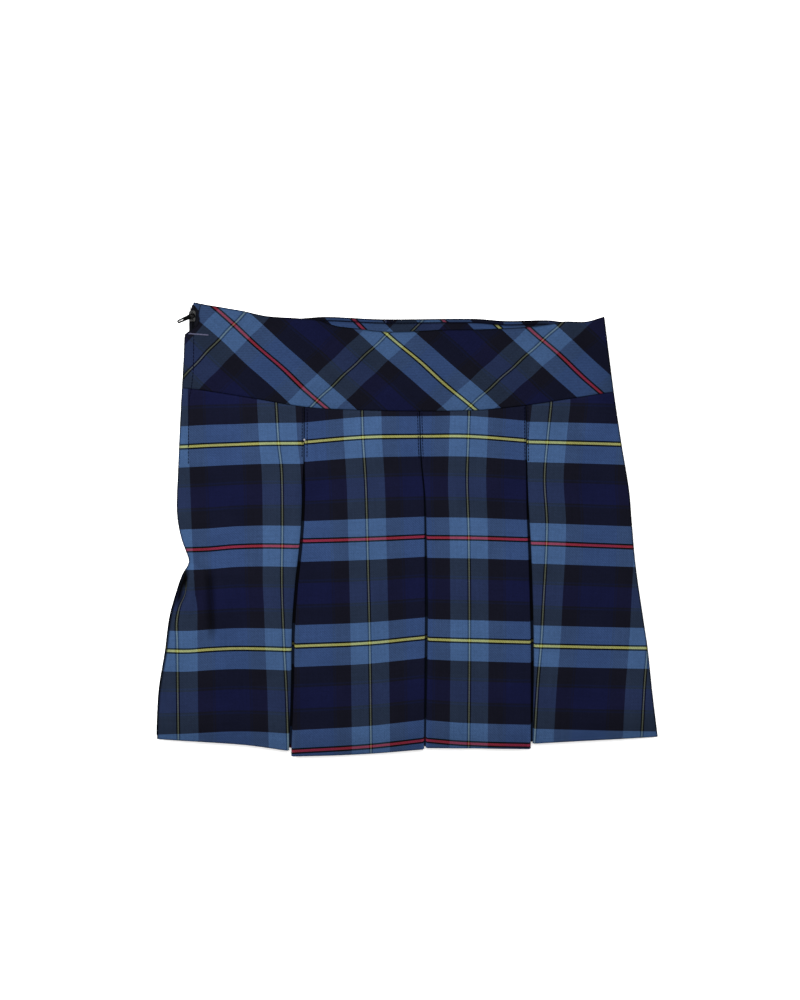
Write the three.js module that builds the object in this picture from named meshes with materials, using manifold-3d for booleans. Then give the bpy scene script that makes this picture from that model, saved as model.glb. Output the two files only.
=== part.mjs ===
// A girl's pleated plaid skort, laid flat with its front up.
// Millimetres. +X is the viewer's right, +Y points to the waist, and +Z up from the table it lies on.
// The origin is under the middle of its box, on the table.
import * as THREE from "three";
import { mergeVertices } from "three/addons/utils/BufferGeometryUtils.js";
import Module from "manifold-3d";

const CLOTH = 1;
const GAP = 0.3;
const LAYER = CLOTH + GAP;
const SHORTS_BACK_Z = LAYER;
const SHORTS_FRONT_Z = 2 * LAYER;
const UNDERLAY_Z = 3 * LAYER + CLOTH / 2;
const RETURN_Z = UNDERLAY_Z + LAYER;
const PLEAT_Z = RETURN_Z + LAYER;
const SIDE_Z = LAYER + CLOTH / 2;
const WAIST_Z = 2 * LAYER + CLOTH / 2;
const ZIP_LAP_Z = 6.2;

// How far in from a side seam the front rises, and how roundly it does so.
const YOKE_RUN = 12;
const SKIRT_RUN = 55;
const SIDE_ROUNDNESS = 0.7;
const YOKE_BLEND = 50;
const PANEL_SAG = 1.2;
const UNDERLAY_LIFT = 3;

const ZIP_X = -161.3;
const ZIP_HIDDEN_X = -158.4;
const ZIP_BEND = { from: 144, to: 154 };
const ZIP_HEAD = 167.5;
const ZIP_FOOT = 56;
const ZIP_REACH = { inner: -150, outer: -130, below: 30 };
const TAPE = { thick: 0.7, backZ: LAYER, frontZ: 3.2, end: 4, shoulder: 156 };
const STRAND = { wide: 1.1, thick: 1, z: 3.1, meshed: 0.7, parted: 1.3 };
const SLIDER = {
  y: 160, long: 8, wide: 5.2, plate: 0.55, low: 2.3, high: 4.4, neck: 0.9, neckInset: 1.2,
  taper: 0.78, shoulder: 0.3, head: 0.4,
};
const BRIDGE = { wire: 0.9, long: 6, z: 7.7, sides: 12, sunk: 0.1 };
const TAB = {
  reach: 12, wide: 4.4, tipWide: 3.2, thick: 0.8, eye: 1.35, rim: 0.85, head: 0.45,
  slot: { wide: 1.2, long: 2.8 },
};
const TAB_LEAN_DEG = 24.4;
const TAB_ROLL_DEG = 50;

// The garment's left outline from the waist to the hem, with the pinch in it below half way.
const LEFT_OUTLINE = [
  { y: -157.2, x: -187.2 },
  { y: -147, x: -187.8 },
  { y: -120, x: -186.2 },
  { y: -93, x: -181.8 },
  { y: -67, x: -178.4 },
  { y: -49, x: -173.6 },
  { y: -34, x: -168.4 },
  { y: -25, x: -163.4 },
  { y: -17, x: -165.5 },
  { y: -8, x: -168.8 },
  { y: 5, x: -171.6 },
  { y: 18, x: -172.5 },
  { y: 45, x: -171.5 },
  { y: 80, x: -170 },
  { y: 106, x: -168.7 },
  { y: 132, x: -167.2 },
  { y: 145, x: -166.2 },
];

const RIGHT_OUTLINE = [
  { y: -155.3, x: 187.8 },
  { y: -124, x: 184 },
  { y: -89, x: 180.1 },
  { y: -73, x: 176.9 },
  { y: -28, x: 171.4 },
  { y: 4, x: 168.5 },
  { y: 29, x: 166.4 },
  { y: 64, x: 160.7 },
  { y: 103, x: 154.9 },
  { y: 159, x: 147.8 },
];

// The seam between yoke and skirt dips towards the middle.
const YOKE_SEAM = [
  { x: -169, y: 105.8 },
  { x: -156, y: 104.3 },
  { x: -115, y: 97.8 },
  { x: -84, y: 92.4 },
  { x: -58, y: 89.8 },
  { x: 9, y: 88.2 },
  { x: 52, y: 88.9 },
  { x: 68, y: 90.2 },
  { x: 92, y: 93 },
  { x: 126, y: 98.2 },
  { x: 155, y: 102.8 },
];

const FRONT_WAIST = [
  { x: -156, y: 168.4 },
  { x: -125, y: 163.5 },
  { x: -106, y: 159.4 },
  { x: -84, y: 157.8 },
  { x: -66, y: 157 },
  { x: -54, y: 152.8 },
  { x: -36, y: 150.6 },
  { x: -18, y: 148.5 },
  { x: 5, y: 148.7 },
  { x: 28, y: 149.9 },
  { x: 58, y: 150.2 },
  { x: 89, y: 151.8 },
  { x: 107, y: 153.9 },
  { x: 118, y: 155.2 },
  { x: 135, y: 155.2 },
  { x: 148, y: 158.9 },
];

const BACK_WAIST = [
  { x: -161, y: 170 },
  { x: -153, y: 168.4 },
  { x: -125, y: 163 },
  { x: -106, y: 158.9 },
  { x: -84, y: 157.6 },
  { x: -61, y: 158.9 },
  { x: -19, y: 157.1 },
  { x: 51, y: 157.4 },
  { x: 74, y: 155.8 },
  { x: 106, y: 156.3 },
  { x: 118, y: 155 },
  { x: 135, y: 154.9 },
  { x: 147, y: 158.4 },
];

// The lap of the front yoke is drawn back at the waist, so that the head of the zip shows.
const LAP_EDGE = [
  { y: 105, x: -168.7 },
  { y: 132, x: -167.2 },
  { y: 145, x: -166.2 },
  { y: 148, x: -163 },
  { y: 152, x: -158.5 },
  { y: 157, x: -156 },
  { y: 160, x: -156.8 },
  { y: 168.4, x: -155.4 },
];

const BACK_YOKE_LEFT = [
  { y: 105, x: -168.7 },
  { y: 132, x: -167.2 },
  { y: 143, x: -166 },
  { y: 147, x: -163.6 },
  { y: 158, x: -163.6 },
  { y: 170, x: -160.8 },
];

// Each inverted pleat: the depth of its two returns, and the line along which its folds meet.
const PLEATS = [
  {
    depth: 24,
    line: [
      { y: -166, x: -86.9 },
      { y: -102, x: -85.7 },
      { y: -42, x: -84.4 },
      { y: -22, x: -81.4 },
      { y: 5, x: -79 },
      { y: 32, x: -77.7 },
      { y: 92, x: -77.3 },
    ],
  },
  {
    depth: 21,
    line: [
      { y: -166, x: 13.4 },
      { y: -68, x: 14.6 },
      { y: -14, x: 14.1 },
      { y: 24, x: 13.2 },
      { y: 54, x: 10.6 },
      { y: 92, x: 9.4 },
    ],
  },
  {
    depth: 25,
    line: [
      { y: -166, x: 93.5 },
      { y: -91, x: 94.1 },
      { y: -21, x: 92.3 },
      { y: 24, x: 90.3 },
      { y: 92, x: 89.3 },
    ],
  },
];

// The hem of each of the four front panels, from the left side to the right.
const PANEL_HEMS = [
  [
    { x: -188, y: -157.2 },
    { x: -124, y: -160.3 },
    { x: -87, y: -165.2 },
  ],
  [
    { x: -87, y: -170 },
    { x: -35, y: -168.8 },
    { x: 13, y: -165.2 },
  ],
  [
    { x: 13, y: -164 },
    { x: 94, y: -164.6 },
  ],
  [
    { x: 94, y: -160.1 },
    { x: 137, y: -157.8 },
    { x: 188, y: -155.3 },
  ],
];

const BACK_HEM = [
  { x: -187, y: -155 },
  { x: 0, y: -161 },
  { x: 187, y: -153 },
];

// The ends of the seams and edges along which the flat pieces of the back are drawn.
const SEAM_ENDS = { left: -168.6, right: 154.8 };
const BACK_YOKE_ENDS = { left: -160.8, right: 147, leftFoot: 110, leftHead: 158 };
const YOKE_SIDE = { foot: 108, head: 152 };
const SKIRT_SIDES = { leftFoot: -147, rightFoot: -140, head: 96 };
const BACK_HEM_ENDS = { left: -187, right: 187 };
const FACING = { left: -148, footRight: 142, headRight: 138, overSeam: 4, belowEdge: 0.6 };
const FLAT_STEPS = { seam: 16, waist: 24, hem: 8, facing: 12, side: 10, pinched: 27, short: 2 };

// The tape beside the front yoke, down its inner edge and across its head.
const FRONT_TAPE = [
  [-149, ZIP_FOOT - TAPE.end],
  [-149, TAPE.shoulder],
  [-155.5, 157.5],
];
const FRONT_TAPE_HEAD = { y: 165.5, beside: 166, bendTop: 162, bendFoot: 142, steps: 5 };
// The tape on the back yoke, from its foot round its head and down its outer edge.
const BACK_TAPE = [
  [-151, ZIP_FOOT - TAPE.end],
  [-151, TAPE.shoulder],
  [-157, 159.5],
  [-161, 168.8],
  [-162.6, 165],
  [-163.9, 158],
  [-163.9, 147],
  [-162.6, 142],
  [-162.6, ZIP_FOOT - TAPE.end],
];
const STRAND_ROWS = [ZIP_FOOT, 100, 144, 147, 149, 151, 154, 159, 161, 162, ZIP_HEAD];
const STRAND_PARTING = { below: 1, above: 2 };

const SHORTS = {
  left: -147, right: 139, middle: -4, top: 84, crotch: -75, crotchTall: 12, crotchWide: 3,
  hem: -130, hemRise: 3, legGap: 12,
};

// Shares of the way from the yoke seam to the hem at which the skirt's sections lie.
const SKIRT_ROWS = [
  0, 0.1, 0.2, 0.3, 0.38, 0.44, 0.475, 0.5, 0.53, 0.57, 0.63, 0.7, 0.78, 0.86, 0.94, 1,
];
const SIDE_PANEL = { steps: 10, crowding: 1.7 };
const MIDDLE_PANEL_STEPS = 6;
const FOLD_STEPS = 3;
const YOKE_STEPS = { across: 26, down: 9, crowding: 0.8 };

// A smooth curve through a table's rows, as a function from one column to the other.
function curveOf(rows, from, to) {
  const slopes = rows.map((row, i) => {
    const before = rows[Math.max(0, i - 1)];
    const after = rows[Math.min(rows.length - 1, i + 1)];
    return (after[to] - before[to]) / (after[from] - before[from]);
  });
  return (value) => {
    const at = THREE.MathUtils.clamp(value, rows[0][from], rows[rows.length - 1][from]);
    let i = 0;
    while (i < rows.length - 2 && at > rows[i + 1][from]) i += 1;
    const span = rows[i + 1][from] - rows[i][from];
    const t = (at - rows[i][from]) / span;
    const rise = rows[i + 1][to] - rows[i][to];
    const bend = (1 - t) * (slopes[i] * span - rise) - t * (slopes[i + 1] * span - rise);
    return rows[i][to] + t * rise + t * (1 - t) * bend;
  };
}

const leftOutline = curveOf(LEFT_OUTLINE, "y", "x");
const rightOutline = curveOf(RIGHT_OUTLINE, "y", "x");
const yokeSeam = curveOf(YOKE_SEAM, "x", "y");
const frontWaist = curveOf(FRONT_WAIST, "x", "y");
const backWaist = curveOf(BACK_WAIST, "x", "y");
const lapEdge = curveOf(LAP_EDGE, "y", "x");
const backYokeLeft = curveOf(BACK_YOKE_LEFT, "y", "x");
const backHem = curveOf(BACK_HEM, "x", "y");
const panelHems = PANEL_HEMS.map((rows) => curveOf(rows, "x", "y"));
const pleatLines = PLEATS.map((pleat) => curveOf(pleat.line, "y", "x"));

const { lerp, clamp, degToRad, smoothstep } = THREE.MathUtils;

// How far the front has risen from a side seam, from 0 at the seam to 1 at the end of the run.
function sideRise(distance, run) {
  return Math.sin((Math.PI / 2) * clamp(distance / run, 0, 1)) ** SIDE_ROUNDNESS;
}

// The middle of the front wall's thickness over the table, before the panels sag between pleats.
function frontHeight(x, y) {
  const seam = yokeSeam(x);
  const onYoke = smoothstep(y, seam, frontWaist(x));
  const level = lerp(PLEAT_Z, WAIST_Z, onYoke);
  const alongZip = smoothstep(y, ZIP_FOOT - ZIP_REACH.below, ZIP_FOOT);
  const besideZip = alongZip * (1 - smoothstep(x, ZIP_REACH.inner, ZIP_REACH.outer));
  const raised = lerp(level, Math.max(level, ZIP_LAP_Z), besideZip);
  const leftRun = lerp(SKIRT_RUN, YOKE_RUN, alongZip);
  const rightRun = lerp(SKIRT_RUN, YOKE_RUN, smoothstep(y, seam - YOKE_BLEND, seam));
  const fromLeft = sideRise(x - leftOutline(y), leftRun);
  const fromRight = sideRise(rightOutline(y) - x, rightRun);
  return SIDE_Z + (raised - SIDE_Z) * fromLeft * fromRight;
}

// A closed geometry from a flat list of corners and triangles.
function geometryOf(corners, triangles) {
  const geometry = new THREE.BufferGeometry();
  geometry.setAttribute("position", new THREE.Float32BufferAttribute(corners.flat(), 3));
  geometry.setIndex(triangles.flat());
  return geometry;
}

// A wall between two grids of points that share their layout: the cloth's face and its back.
function wallBetween(face, back) {
  const rows = face.length;
  const columns = face[0].length;
  const corners = [...face.flat(), ...back.flat()];
  const triangles = [];
  const quad = (a, b, c, d) => triangles.push([a, b, c], [a, c, d]);
  const onFace = (row, column) => row * columns + column;
  const onBack = (row, column) => rows * columns + onFace(row, column);
  for (let r = 0; r < rows - 1; r += 1) {
    for (let c = 0; c < columns - 1; c += 1) {
      quad(onFace(r, c), onFace(r + 1, c), onFace(r + 1, c + 1), onFace(r, c + 1));
      quad(onBack(r, c), onBack(r, c + 1), onBack(r + 1, c + 1), onBack(r + 1, c));
    }
    const last = columns - 1;
    quad(onFace(r, 0), onBack(r, 0), onBack(r + 1, 0), onFace(r + 1, 0));
    quad(onFace(r, last), onFace(r + 1, last), onBack(r + 1, last), onBack(r, last));
  }
  for (let c = 0; c < columns - 1; c += 1) {
    const last = rows - 1;
    quad(onFace(0, c), onFace(0, c + 1), onBack(0, c + 1), onBack(0, c));
    quad(onFace(last, c), onBack(last, c), onBack(last, c + 1), onFace(last, c + 1));
  }
  return geometryOf(corners, triangles);
}

// The points of one half turn of the cloth, from one layer to the next.
function halfTurn(x, z, side, down) {
  const radius = LAYER / 2;
  const points = [];
  for (let i = 0; i <= FOLD_STEPS; i += 1) {
    const angle = (Math.PI * i) / FOLD_STEPS;
    const away = [side * Math.sin(angle), down * Math.cos(angle)];
    const outwards = down * side > 0 ? 1 : -1;
    points.push({
      x: x + radius * away[0],
      z: z + radius * away[1],
      normal: [outwards * away[0], outwards * away[1]],
    });
  }
  return points;
}

// The section of one inverted pleat: under, back, across and up again, at the height y.
function pleatSection(index, y) {
  const edge = GAP / 2 + LAYER / 2 + CLOTH / 2;
  const x = pleatLines[index](y);
  const depth = PLEATS[index].depth - LAYER / 2 - CLOTH / 2;
  const upper = (PLEAT_Z + RETURN_Z) / 2;
  const lower = (RETURN_Z + UNDERLAY_Z) / 2;
  const points = [
    ...halfTurn(x - edge, upper, 1, 1),
    ...halfTurn(x - depth, lower, -1, 1),
    ...halfTurn(x + depth, lower, 1, -1),
    ...halfTurn(x + edge, upper, -1, -1),
  ];
  return points.map((point, i) => ({ ...point, along: i / (points.length - 1) }));
}

// How far a front panel sags between the pleats beside it.
function panelSag(index, x, y, share) {
  if (index === 0 || index === PLEATS.length) return 0;
  const from = pleatLines[index - 1](y) + PLEATS[index - 1].depth;
  const to = pleatLines[index](y) - PLEATS[index].depth;
  const across = clamp((x - from) / (to - from), 0, 1);
  return PANEL_SAG * Math.sin(Math.PI * across) ** 2 * smoothstep(share, 0, 0.3);
}

// Shares of a front panel's width at which its points lie, crowded towards a side seam.
function panelSpacing(index) {
  const atSide = index === 0 || index === PLEATS.length;
  const steps = atSide ? SIDE_PANEL.steps : MIDDLE_PANEL_STEPS;
  return Array.from({ length: steps + 1 }, (_, i) => {
    if (index === 0) return (i / steps) ** SIDE_PANEL.crowding;
    if (index === PLEATS.length) return 1 - (1 - i / steps) ** SIDE_PANEL.crowding;
    return i / steps;
  });
}

// The section of one front panel between its two edges.
function panelSection(index, share) {
  const hem = panelHems[index];
  const heightAt = (x) => lerp(yokeSeam(x) - GAP / 2, hem(x), share);
  const edge = GAP / 2 + LAYER / 2 + CLOTH / 2;
  const left = (y) => (index === 0 ? leftOutline(y) : pleatLines[index - 1](y) + edge);
  const right = (y) => (index === PLEATS.length ? rightOutline(y) : pleatLines[index](y) - edge);
  const points = [];
  for (const across of panelSpacing(index)) {
    let y = lerp(YOKE_SEAM[0].y, hem(0), share);
    let x = 0;
    for (let pass = 0; pass < 4; pass += 1) {
      x = lerp(left(y), right(y), across);
      y = heightAt(x);
    }
    points.push({ x, y, z: frontHeight(x, y) - panelSag(index, x, y, share), normal: [0, 1] });
  }
  return points;
}

// One section of the whole front skirt, from side seam to side seam, with its cloth's normals.
function skirtSection(share) {
  const section = [];
  for (let index = 0; index <= PLEATS.length; index += 1) {
    const panel = panelSection(index, share);
    section.push(...(index > 0 ? panel.slice(1) : panel));
    if (index === PLEATS.length) break;
    const from = panel[panel.length - 1];
    const to = panelSection(index + 1, share)[0];
    const folds = pleatSection(index, (from.y + to.y) / 2);
    const lift = UNDERLAY_LIFT * smoothstep(share, 0.5, 1);
    folds.forEach((fold) => {
      fold.y = lerp(from.y, to.y, fold.along) + lift * Math.sin(Math.PI * fold.along);
    });
    section.pop();
    section.push(...folds);
  }
  return section;
}

function frontSkirt() {
  const sections = SKIRT_ROWS.map(skirtSection);
  const offset = (distance) => (point) => [
    point.x + distance * point.normal[0],
    point.y,
    point.z + distance * point.normal[1],
  ];
  const face = sections.map((section) => section.map(offset(CLOTH / 2)));
  const back = sections.map((section) => section.map(offset(-CLOTH / 2)));
  return wallBetween(face, back);
}

function frontYoke() {
  const face = [];
  const back = [];
  for (let r = 0; r <= YOKE_STEPS.down; r += 1) {
    const share = r / YOKE_STEPS.down;
    const row = [];
    for (let c = 0; c <= YOKE_STEPS.across; c += 1) {
      const turn = (2 * Math.PI * c) / YOKE_STEPS.across;
      const across = (turn - YOKE_STEPS.crowding * Math.sin(turn)) / (2 * Math.PI);
      let y = lerp(FRONT_WAIST[0].y, YOKE_SEAM[0].y, share);
      let x = 0;
      for (let pass = 0; pass < 6; pass += 1) {
        x = lerp(lapEdge(y), rightOutline(y), across);
        y = lerp(frontWaist(x), yokeSeam(x) + GAP / 2, share);
      }
      row.push([x, y, frontHeight(x, y)]);
    }
    face.push(row.map(([x, y, z]) => [x, y, z + CLOTH / 2]));
    back.push(row.map(([x, y, z]) => [x, y, z - CLOTH / 2]));
  }
  return wallBetween(face, back);
}

// A flat piece of cloth or tape: an outline, given its thickness upwards from z.
function flatPiece(outline, z, thick) {
  const shape = new THREE.Shape(outline.map(([x, y]) => new THREE.Vector2(x, y)));
  const geometry = new THREE.ExtrudeGeometry(shape, { depth: thick, bevelEnabled: false });
  return geometry.translate(0, 0, z);
}

// Points along a function of x, or of y, in even steps from one end to the other.
function pointsAlong(curve, from, to, steps, axis) {
  return Array.from({ length: steps + 1 }, (_, i) => {
    const at = lerp(from, to, i / steps);
    return axis === "x" ? [at, curve(at)] : [curve(at), at];
  });
}

function backYoke() {
  const seamTop = (x) => yokeSeam(x) + GAP / 2;
  return flatPiece(
    [
      ...pointsAlong(seamTop, SEAM_ENDS.left, SEAM_ENDS.right, FLAT_STEPS.seam, "x"),
      ...pointsAlong(rightOutline, YOKE_SIDE.foot, YOKE_SIDE.head, FLAT_STEPS.short, "y"),
      ...pointsAlong(backWaist, BACK_YOKE_ENDS.right, BACK_YOKE_ENDS.left, FLAT_STEPS.waist, "x"),
      ...pointsAlong(backYokeLeft, BACK_YOKE_ENDS.leftHead, BACK_YOKE_ENDS.leftFoot, FLAT_STEPS.hem, "y"),
    ],
    0,
    CLOTH,
  );
}

function backYokeFacing() {
  const foot = (x) => yokeSeam(x) + FACING.overSeam;
  const head = (x) => backWaist(x) - FACING.belowEdge;
  return flatPiece(
    [
      ...pointsAlong(foot, FACING.left, FACING.footRight, FLAT_STEPS.facing, "x"),
      ...pointsAlong(head, FACING.headRight, FACING.left, FLAT_STEPS.waist, "x"),
    ],
    LAYER,
    CLOTH,
  );
}

function backSkirt() {
  const seamBottom = (x) => yokeSeam(x) - GAP / 2;
  return flatPiece(
    [
      ...pointsAlong(backHem, BACK_HEM_ENDS.left, BACK_HEM_ENDS.right, FLAT_STEPS.hem, "x"),
      ...pointsAlong(rightOutline, SKIRT_SIDES.rightFoot, SKIRT_SIDES.head, FLAT_STEPS.side, "y"),
      ...pointsAlong(seamBottom, SEAM_ENDS.right, SEAM_ENDS.left, FLAT_STEPS.seam, "x"),
      ...pointsAlong(leftOutline, SKIRT_SIDES.head, SKIRT_SIDES.leftFoot, FLAT_STEPS.pinched, "y"),
    ],
    0,
    CLOTH,
  );
}

// One quarter of the shorts, on the left (side -1) or on the right (side 1).
function shortsQuarter(side, z) {
  const outer = side < 0 ? SHORTS.left : SHORTS.right;
  const inner = SHORTS.middle + (side * GAP) / 2;
  const leg = SHORTS.middle + side * SHORTS.legGap;
  const curveIn = SHORTS.middle + side * SHORTS.crotchWide;
  const outline = [
    [inner, SHORTS.top],
    [inner, SHORTS.crotch + SHORTS.crotchTall],
    [curveIn, SHORTS.crotch],
    [leg, SHORTS.hem],
    [outer, SHORTS.hem + SHORTS.hemRise],
    [outer, SHORTS.top],
  ];
  return flatPiece(outline, z, CLOTH);
}

function zipMiddle(y) {
  return lerp(ZIP_HIDDEN_X, ZIP_X, smoothstep(y, ZIP_BEND.from, ZIP_BEND.to));
}

// How far each row of coil stands from the zip's middle: apart over the slider's neck.
function strandOffset(y) {
  const parting = smoothstep(y, SLIDER.y - STRAND_PARTING.below, SLIDER.y + STRAND_PARTING.above);
  return lerp(STRAND.meshed, STRAND.parted, parting);
}

function zipStrand(side) {
  const band = (z) =>
    STRAND_ROWS.map((y) => {
      const x = zipMiddle(y) + side * strandOffset(y);
      return [
        [x + STRAND.wide / 2, y, z],
        [x - STRAND.wide / 2, y, z],
      ];
    });
  return wallBetween(band(STRAND.z + STRAND.thick), band(STRAND.z));
}

function zipTapeFront() {
  const beside = (y) => zipMiddle(y) + strandOffset(y) + STRAND.wide / 2 + GAP;
  const head = FRONT_TAPE_HEAD;
  return flatPiece(
    [
      ...FRONT_TAPE,
      [beside(head.beside), head.y],
      ...pointsAlong(beside, head.bendTop, head.bendFoot, head.steps, "y"),
      [beside(ZIP_FOOT), ZIP_FOOT - TAPE.end],
    ],
    TAPE.frontZ,
    TAPE.thick,
  );
}

function zipTapeBack() {
  return flatPiece(BACK_TAPE, TAPE.backZ, TAPE.thick);
}

const wasm = await Module();
wasm.setup();

function solidOf(geometry) {
  const bare = geometry.clone();
  bare.deleteAttribute("normal");
  bare.deleteAttribute("uv");
  const merged = mergeVertices(bare);
  const mesh = new wasm.Mesh({
    numProp: 3,
    vertProperties: merged.attributes.position.array,
    triVerts: new Uint32Array(merged.index.array),
  });
  return new wasm.Manifold(mesh);
}

function joined(geometries) {
  const mesh = geometries.map(solidOf).reduce((sum, solid) => sum.add(solid)).getMesh();
  const geometry = new THREE.BufferGeometry();
  geometry.setAttribute("position", new THREE.BufferAttribute(mesh.vertProperties, 3));
  geometry.setIndex(new THREE.BufferAttribute(mesh.triVerts, 1));
  return geometry;
}

// A plate of the slider: broad shoulders at the head, narrower at the foot.
function sliderPlate(z) {
  const broad = SLIDER.wide / 2;
  const narrow = broad * SLIDER.taper;
  const half = SLIDER.long / 2;
  const shape = new THREE.Shape();
  shape.moveTo(-narrow, -half);
  shape.lineTo(narrow, -half);
  shape.lineTo(broad, half * SLIDER.shoulder);
  shape.quadraticCurveTo(broad, half, broad * SLIDER.head, half);
  shape.lineTo(-broad * SLIDER.head, half);
  shape.quadraticCurveTo(-broad, half, -broad, half * SLIDER.shoulder);
  const options = { depth: SLIDER.plate, bevelEnabled: false, curveSegments: 5 };
  return new THREE.ExtrudeGeometry(shape, options).translate(ZIP_X, SLIDER.y, z);
}

// The slider: two plates on a neck, and the bridge wire on which the pull tab swings.
function slider() {
  const top = SLIDER.high + SLIDER.plate;
  const neckTall = top - SLIDER.low;
  const neck = new THREE.BoxGeometry(SLIDER.neck, SLIDER.neck, neckTall);
  const neckY = SLIDER.y + SLIDER.long / 2 - SLIDER.neckInset;
  neck.translate(ZIP_X, neckY, SLIDER.low + neckTall / 2);
  const radius = BRIDGE.wire / 2;
  const bar = new THREE.CylinderGeometry(radius, radius, BRIDGE.long, BRIDGE.sides);
  bar.translate(ZIP_X, SLIDER.y, BRIDGE.z);
  const footTall = BRIDGE.z - SLIDER.high - BRIDGE.sunk;
  const feet = [-1, 1].map((end) => {
    const foot = new THREE.CylinderGeometry(radius, radius, footTall, BRIDGE.sides);
    foot.rotateX(Math.PI / 2);
    const y = SLIDER.y + end * (BRIDGE.long / 2 - radius);
    return foot.translate(ZIP_X, y, SLIDER.high + BRIDGE.sunk + footTall / 2);
  });
  return joined([sliderPlate(SLIDER.low), sliderPlate(SLIDER.high), neck, bar, ...feet]);
}

// The pull tab in its own plane: its eye round the bridge at 0, its tip at +X, with a slot in it.
function pullTabShape() {
  const back = -TAB.eye - TAB.rim;
  const shoulder = back * TAB.head;
  const half = TAB.wide / 2;
  const tip = TAB.tipWide / 2;
  const shape = new THREE.Shape();
  shape.moveTo(shoulder, -half);
  shape.lineTo(TAB.reach - tip, -tip);
  shape.absarc(TAB.reach - tip, 0, tip, -Math.PI / 2, Math.PI / 2, false);
  shape.lineTo(shoulder, half);
  shape.quadraticCurveTo(back, half, back, 0);
  shape.quadraticCurveTo(back, -half, shoulder, -half);
  const eye = new THREE.Path();
  eye.absarc(0, 0, TAB.eye, 0, 2 * Math.PI, true);
  const slot = new THREE.Path();
  const slotHalf = TAB.slot.wide / 2;
  const slotFoot = TAB.reach - tip - TAB.slot.long;
  slot.absarc(TAB.reach - tip, 0, slotHalf, -Math.PI / 2, Math.PI / 2, false);
  slot.absarc(slotFoot, 0, slotHalf, Math.PI / 2, (3 * Math.PI) / 2, false);
  shape.holes.push(eye, slot);
  return shape;
}

// The pull tab hangs out over the edge, leaning down the zip and rolled on its long axis.
function pullTab() {
  const options = { depth: TAB.thick, bevelEnabled: false, curveSegments: 8 };
  const geometry = new THREE.ExtrudeGeometry(pullTabShape(), options);
  geometry.translate(0, 0, -TAB.thick / 2);
  const lean = degToRad(TAB_LEAN_DEG);
  const roll = degToRad(TAB_ROLL_DEG);
  const out = new THREE.Vector3(-Math.cos(lean), -Math.sin(lean), 0);
  const level = new THREE.Vector3(-Math.sin(lean), Math.cos(lean), 0);
  const up = new THREE.Vector3(0, 0, 1);
  const across = level.multiplyScalar(Math.cos(roll)).addScaledVector(up, Math.sin(roll));
  const normal = new THREE.Vector3().crossVectors(out, across);
  geometry.applyMatrix4(new THREE.Matrix4().makeBasis(out, across, normal));
  return geometry.translate(ZIP_X, SLIDER.y, BRIDGE.z);
}

const plaid = new THREE.MeshStandardMaterial({ color: 0x2b3a63, roughness: 0.9 });
const lining = new THREE.MeshStandardMaterial({ color: 0x171a33, roughness: 0.92 });
const tape = new THREE.MeshStandardMaterial({ color: 0x14161d, roughness: 0.85 });
const coil = new THREE.MeshStandardMaterial({ color: 0x101218, roughness: 0.45 });
const enamel = new THREE.MeshStandardMaterial({ color: 0x0d0e12, roughness: 0.35, metalness: 0.6 });

const skort = new THREE.Group();

function add(name, geometry, material) {
  const mesh = new THREE.Mesh(geometry, material);
  mesh.name = name;
  skort.add(mesh);
}

add("front_skirt", frontSkirt(), plaid);
add("front_yoke", frontYoke(), plaid);
add("back_yoke", backYoke(), plaid);
add("back_yoke_facing", backYokeFacing(), plaid);
add("back_skirt", backSkirt(), plaid);
add("shorts_front_left", shortsQuarter(-1, SHORTS_FRONT_Z), lining);
add("shorts_front_right", shortsQuarter(1, SHORTS_FRONT_Z), lining);
add("shorts_back_left", shortsQuarter(-1, SHORTS_BACK_Z), lining);
add("shorts_back_right", shortsQuarter(1, SHORTS_BACK_Z), lining);
add("zip_tape_front", zipTapeFront(), tape);
add("zip_tape_back", zipTapeBack(), tape);
add("zip_coil_front", zipStrand(1), coil);
add("zip_coil_back", zipStrand(-1), coil);
add("zip_slider", slider(), enamel);
add("zip_pull_tab", pullTab(), enamel);

export default skort;
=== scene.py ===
# A girl's pleated plaid skort, laid flat with its front up.
# Sizes in the tables are millimetres in the part's own frame; meshes are made in metres.
import math
import bpy
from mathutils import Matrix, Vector


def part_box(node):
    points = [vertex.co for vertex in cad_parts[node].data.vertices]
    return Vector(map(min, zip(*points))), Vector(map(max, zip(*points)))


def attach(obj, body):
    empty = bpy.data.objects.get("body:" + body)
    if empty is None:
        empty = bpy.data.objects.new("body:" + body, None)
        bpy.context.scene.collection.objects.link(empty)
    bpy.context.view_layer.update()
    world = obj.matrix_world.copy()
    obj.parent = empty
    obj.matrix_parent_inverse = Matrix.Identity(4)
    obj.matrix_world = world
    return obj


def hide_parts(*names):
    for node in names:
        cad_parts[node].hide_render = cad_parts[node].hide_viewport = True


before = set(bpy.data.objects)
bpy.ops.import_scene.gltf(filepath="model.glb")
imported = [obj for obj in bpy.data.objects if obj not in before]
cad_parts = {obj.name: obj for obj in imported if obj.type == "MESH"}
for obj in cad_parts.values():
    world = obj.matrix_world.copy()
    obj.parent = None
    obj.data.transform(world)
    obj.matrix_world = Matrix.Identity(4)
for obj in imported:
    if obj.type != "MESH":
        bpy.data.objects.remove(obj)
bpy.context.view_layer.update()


def table(columns, rows):
    """A table's rows, with each value under the name of its column."""
    return [dict(zip(columns.split(), row)) for row in rows]


MM = 0.001
# The part's cloth, the gap between its pieces, and the thinner cloth that shows on it.
CLOTH = 1.0
GAP = 0.3
LAYER = CLOTH + GAP
SHELL = 0.55
# Heights of the front wall's middle: in the pleats, at the side seams and waist, over the zip.
UNDERLAY_Z = 3 * LAYER + CLOTH / 2
RETURN_Z = UNDERLAY_Z + LAYER
PLEAT_Z = RETURN_Z + LAYER
SIDE_Z = LAYER + CLOTH / 2
WAIST_Z = 2 * LAYER + CLOTH / 2
ZIP_LAP_Z = 6.2
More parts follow.
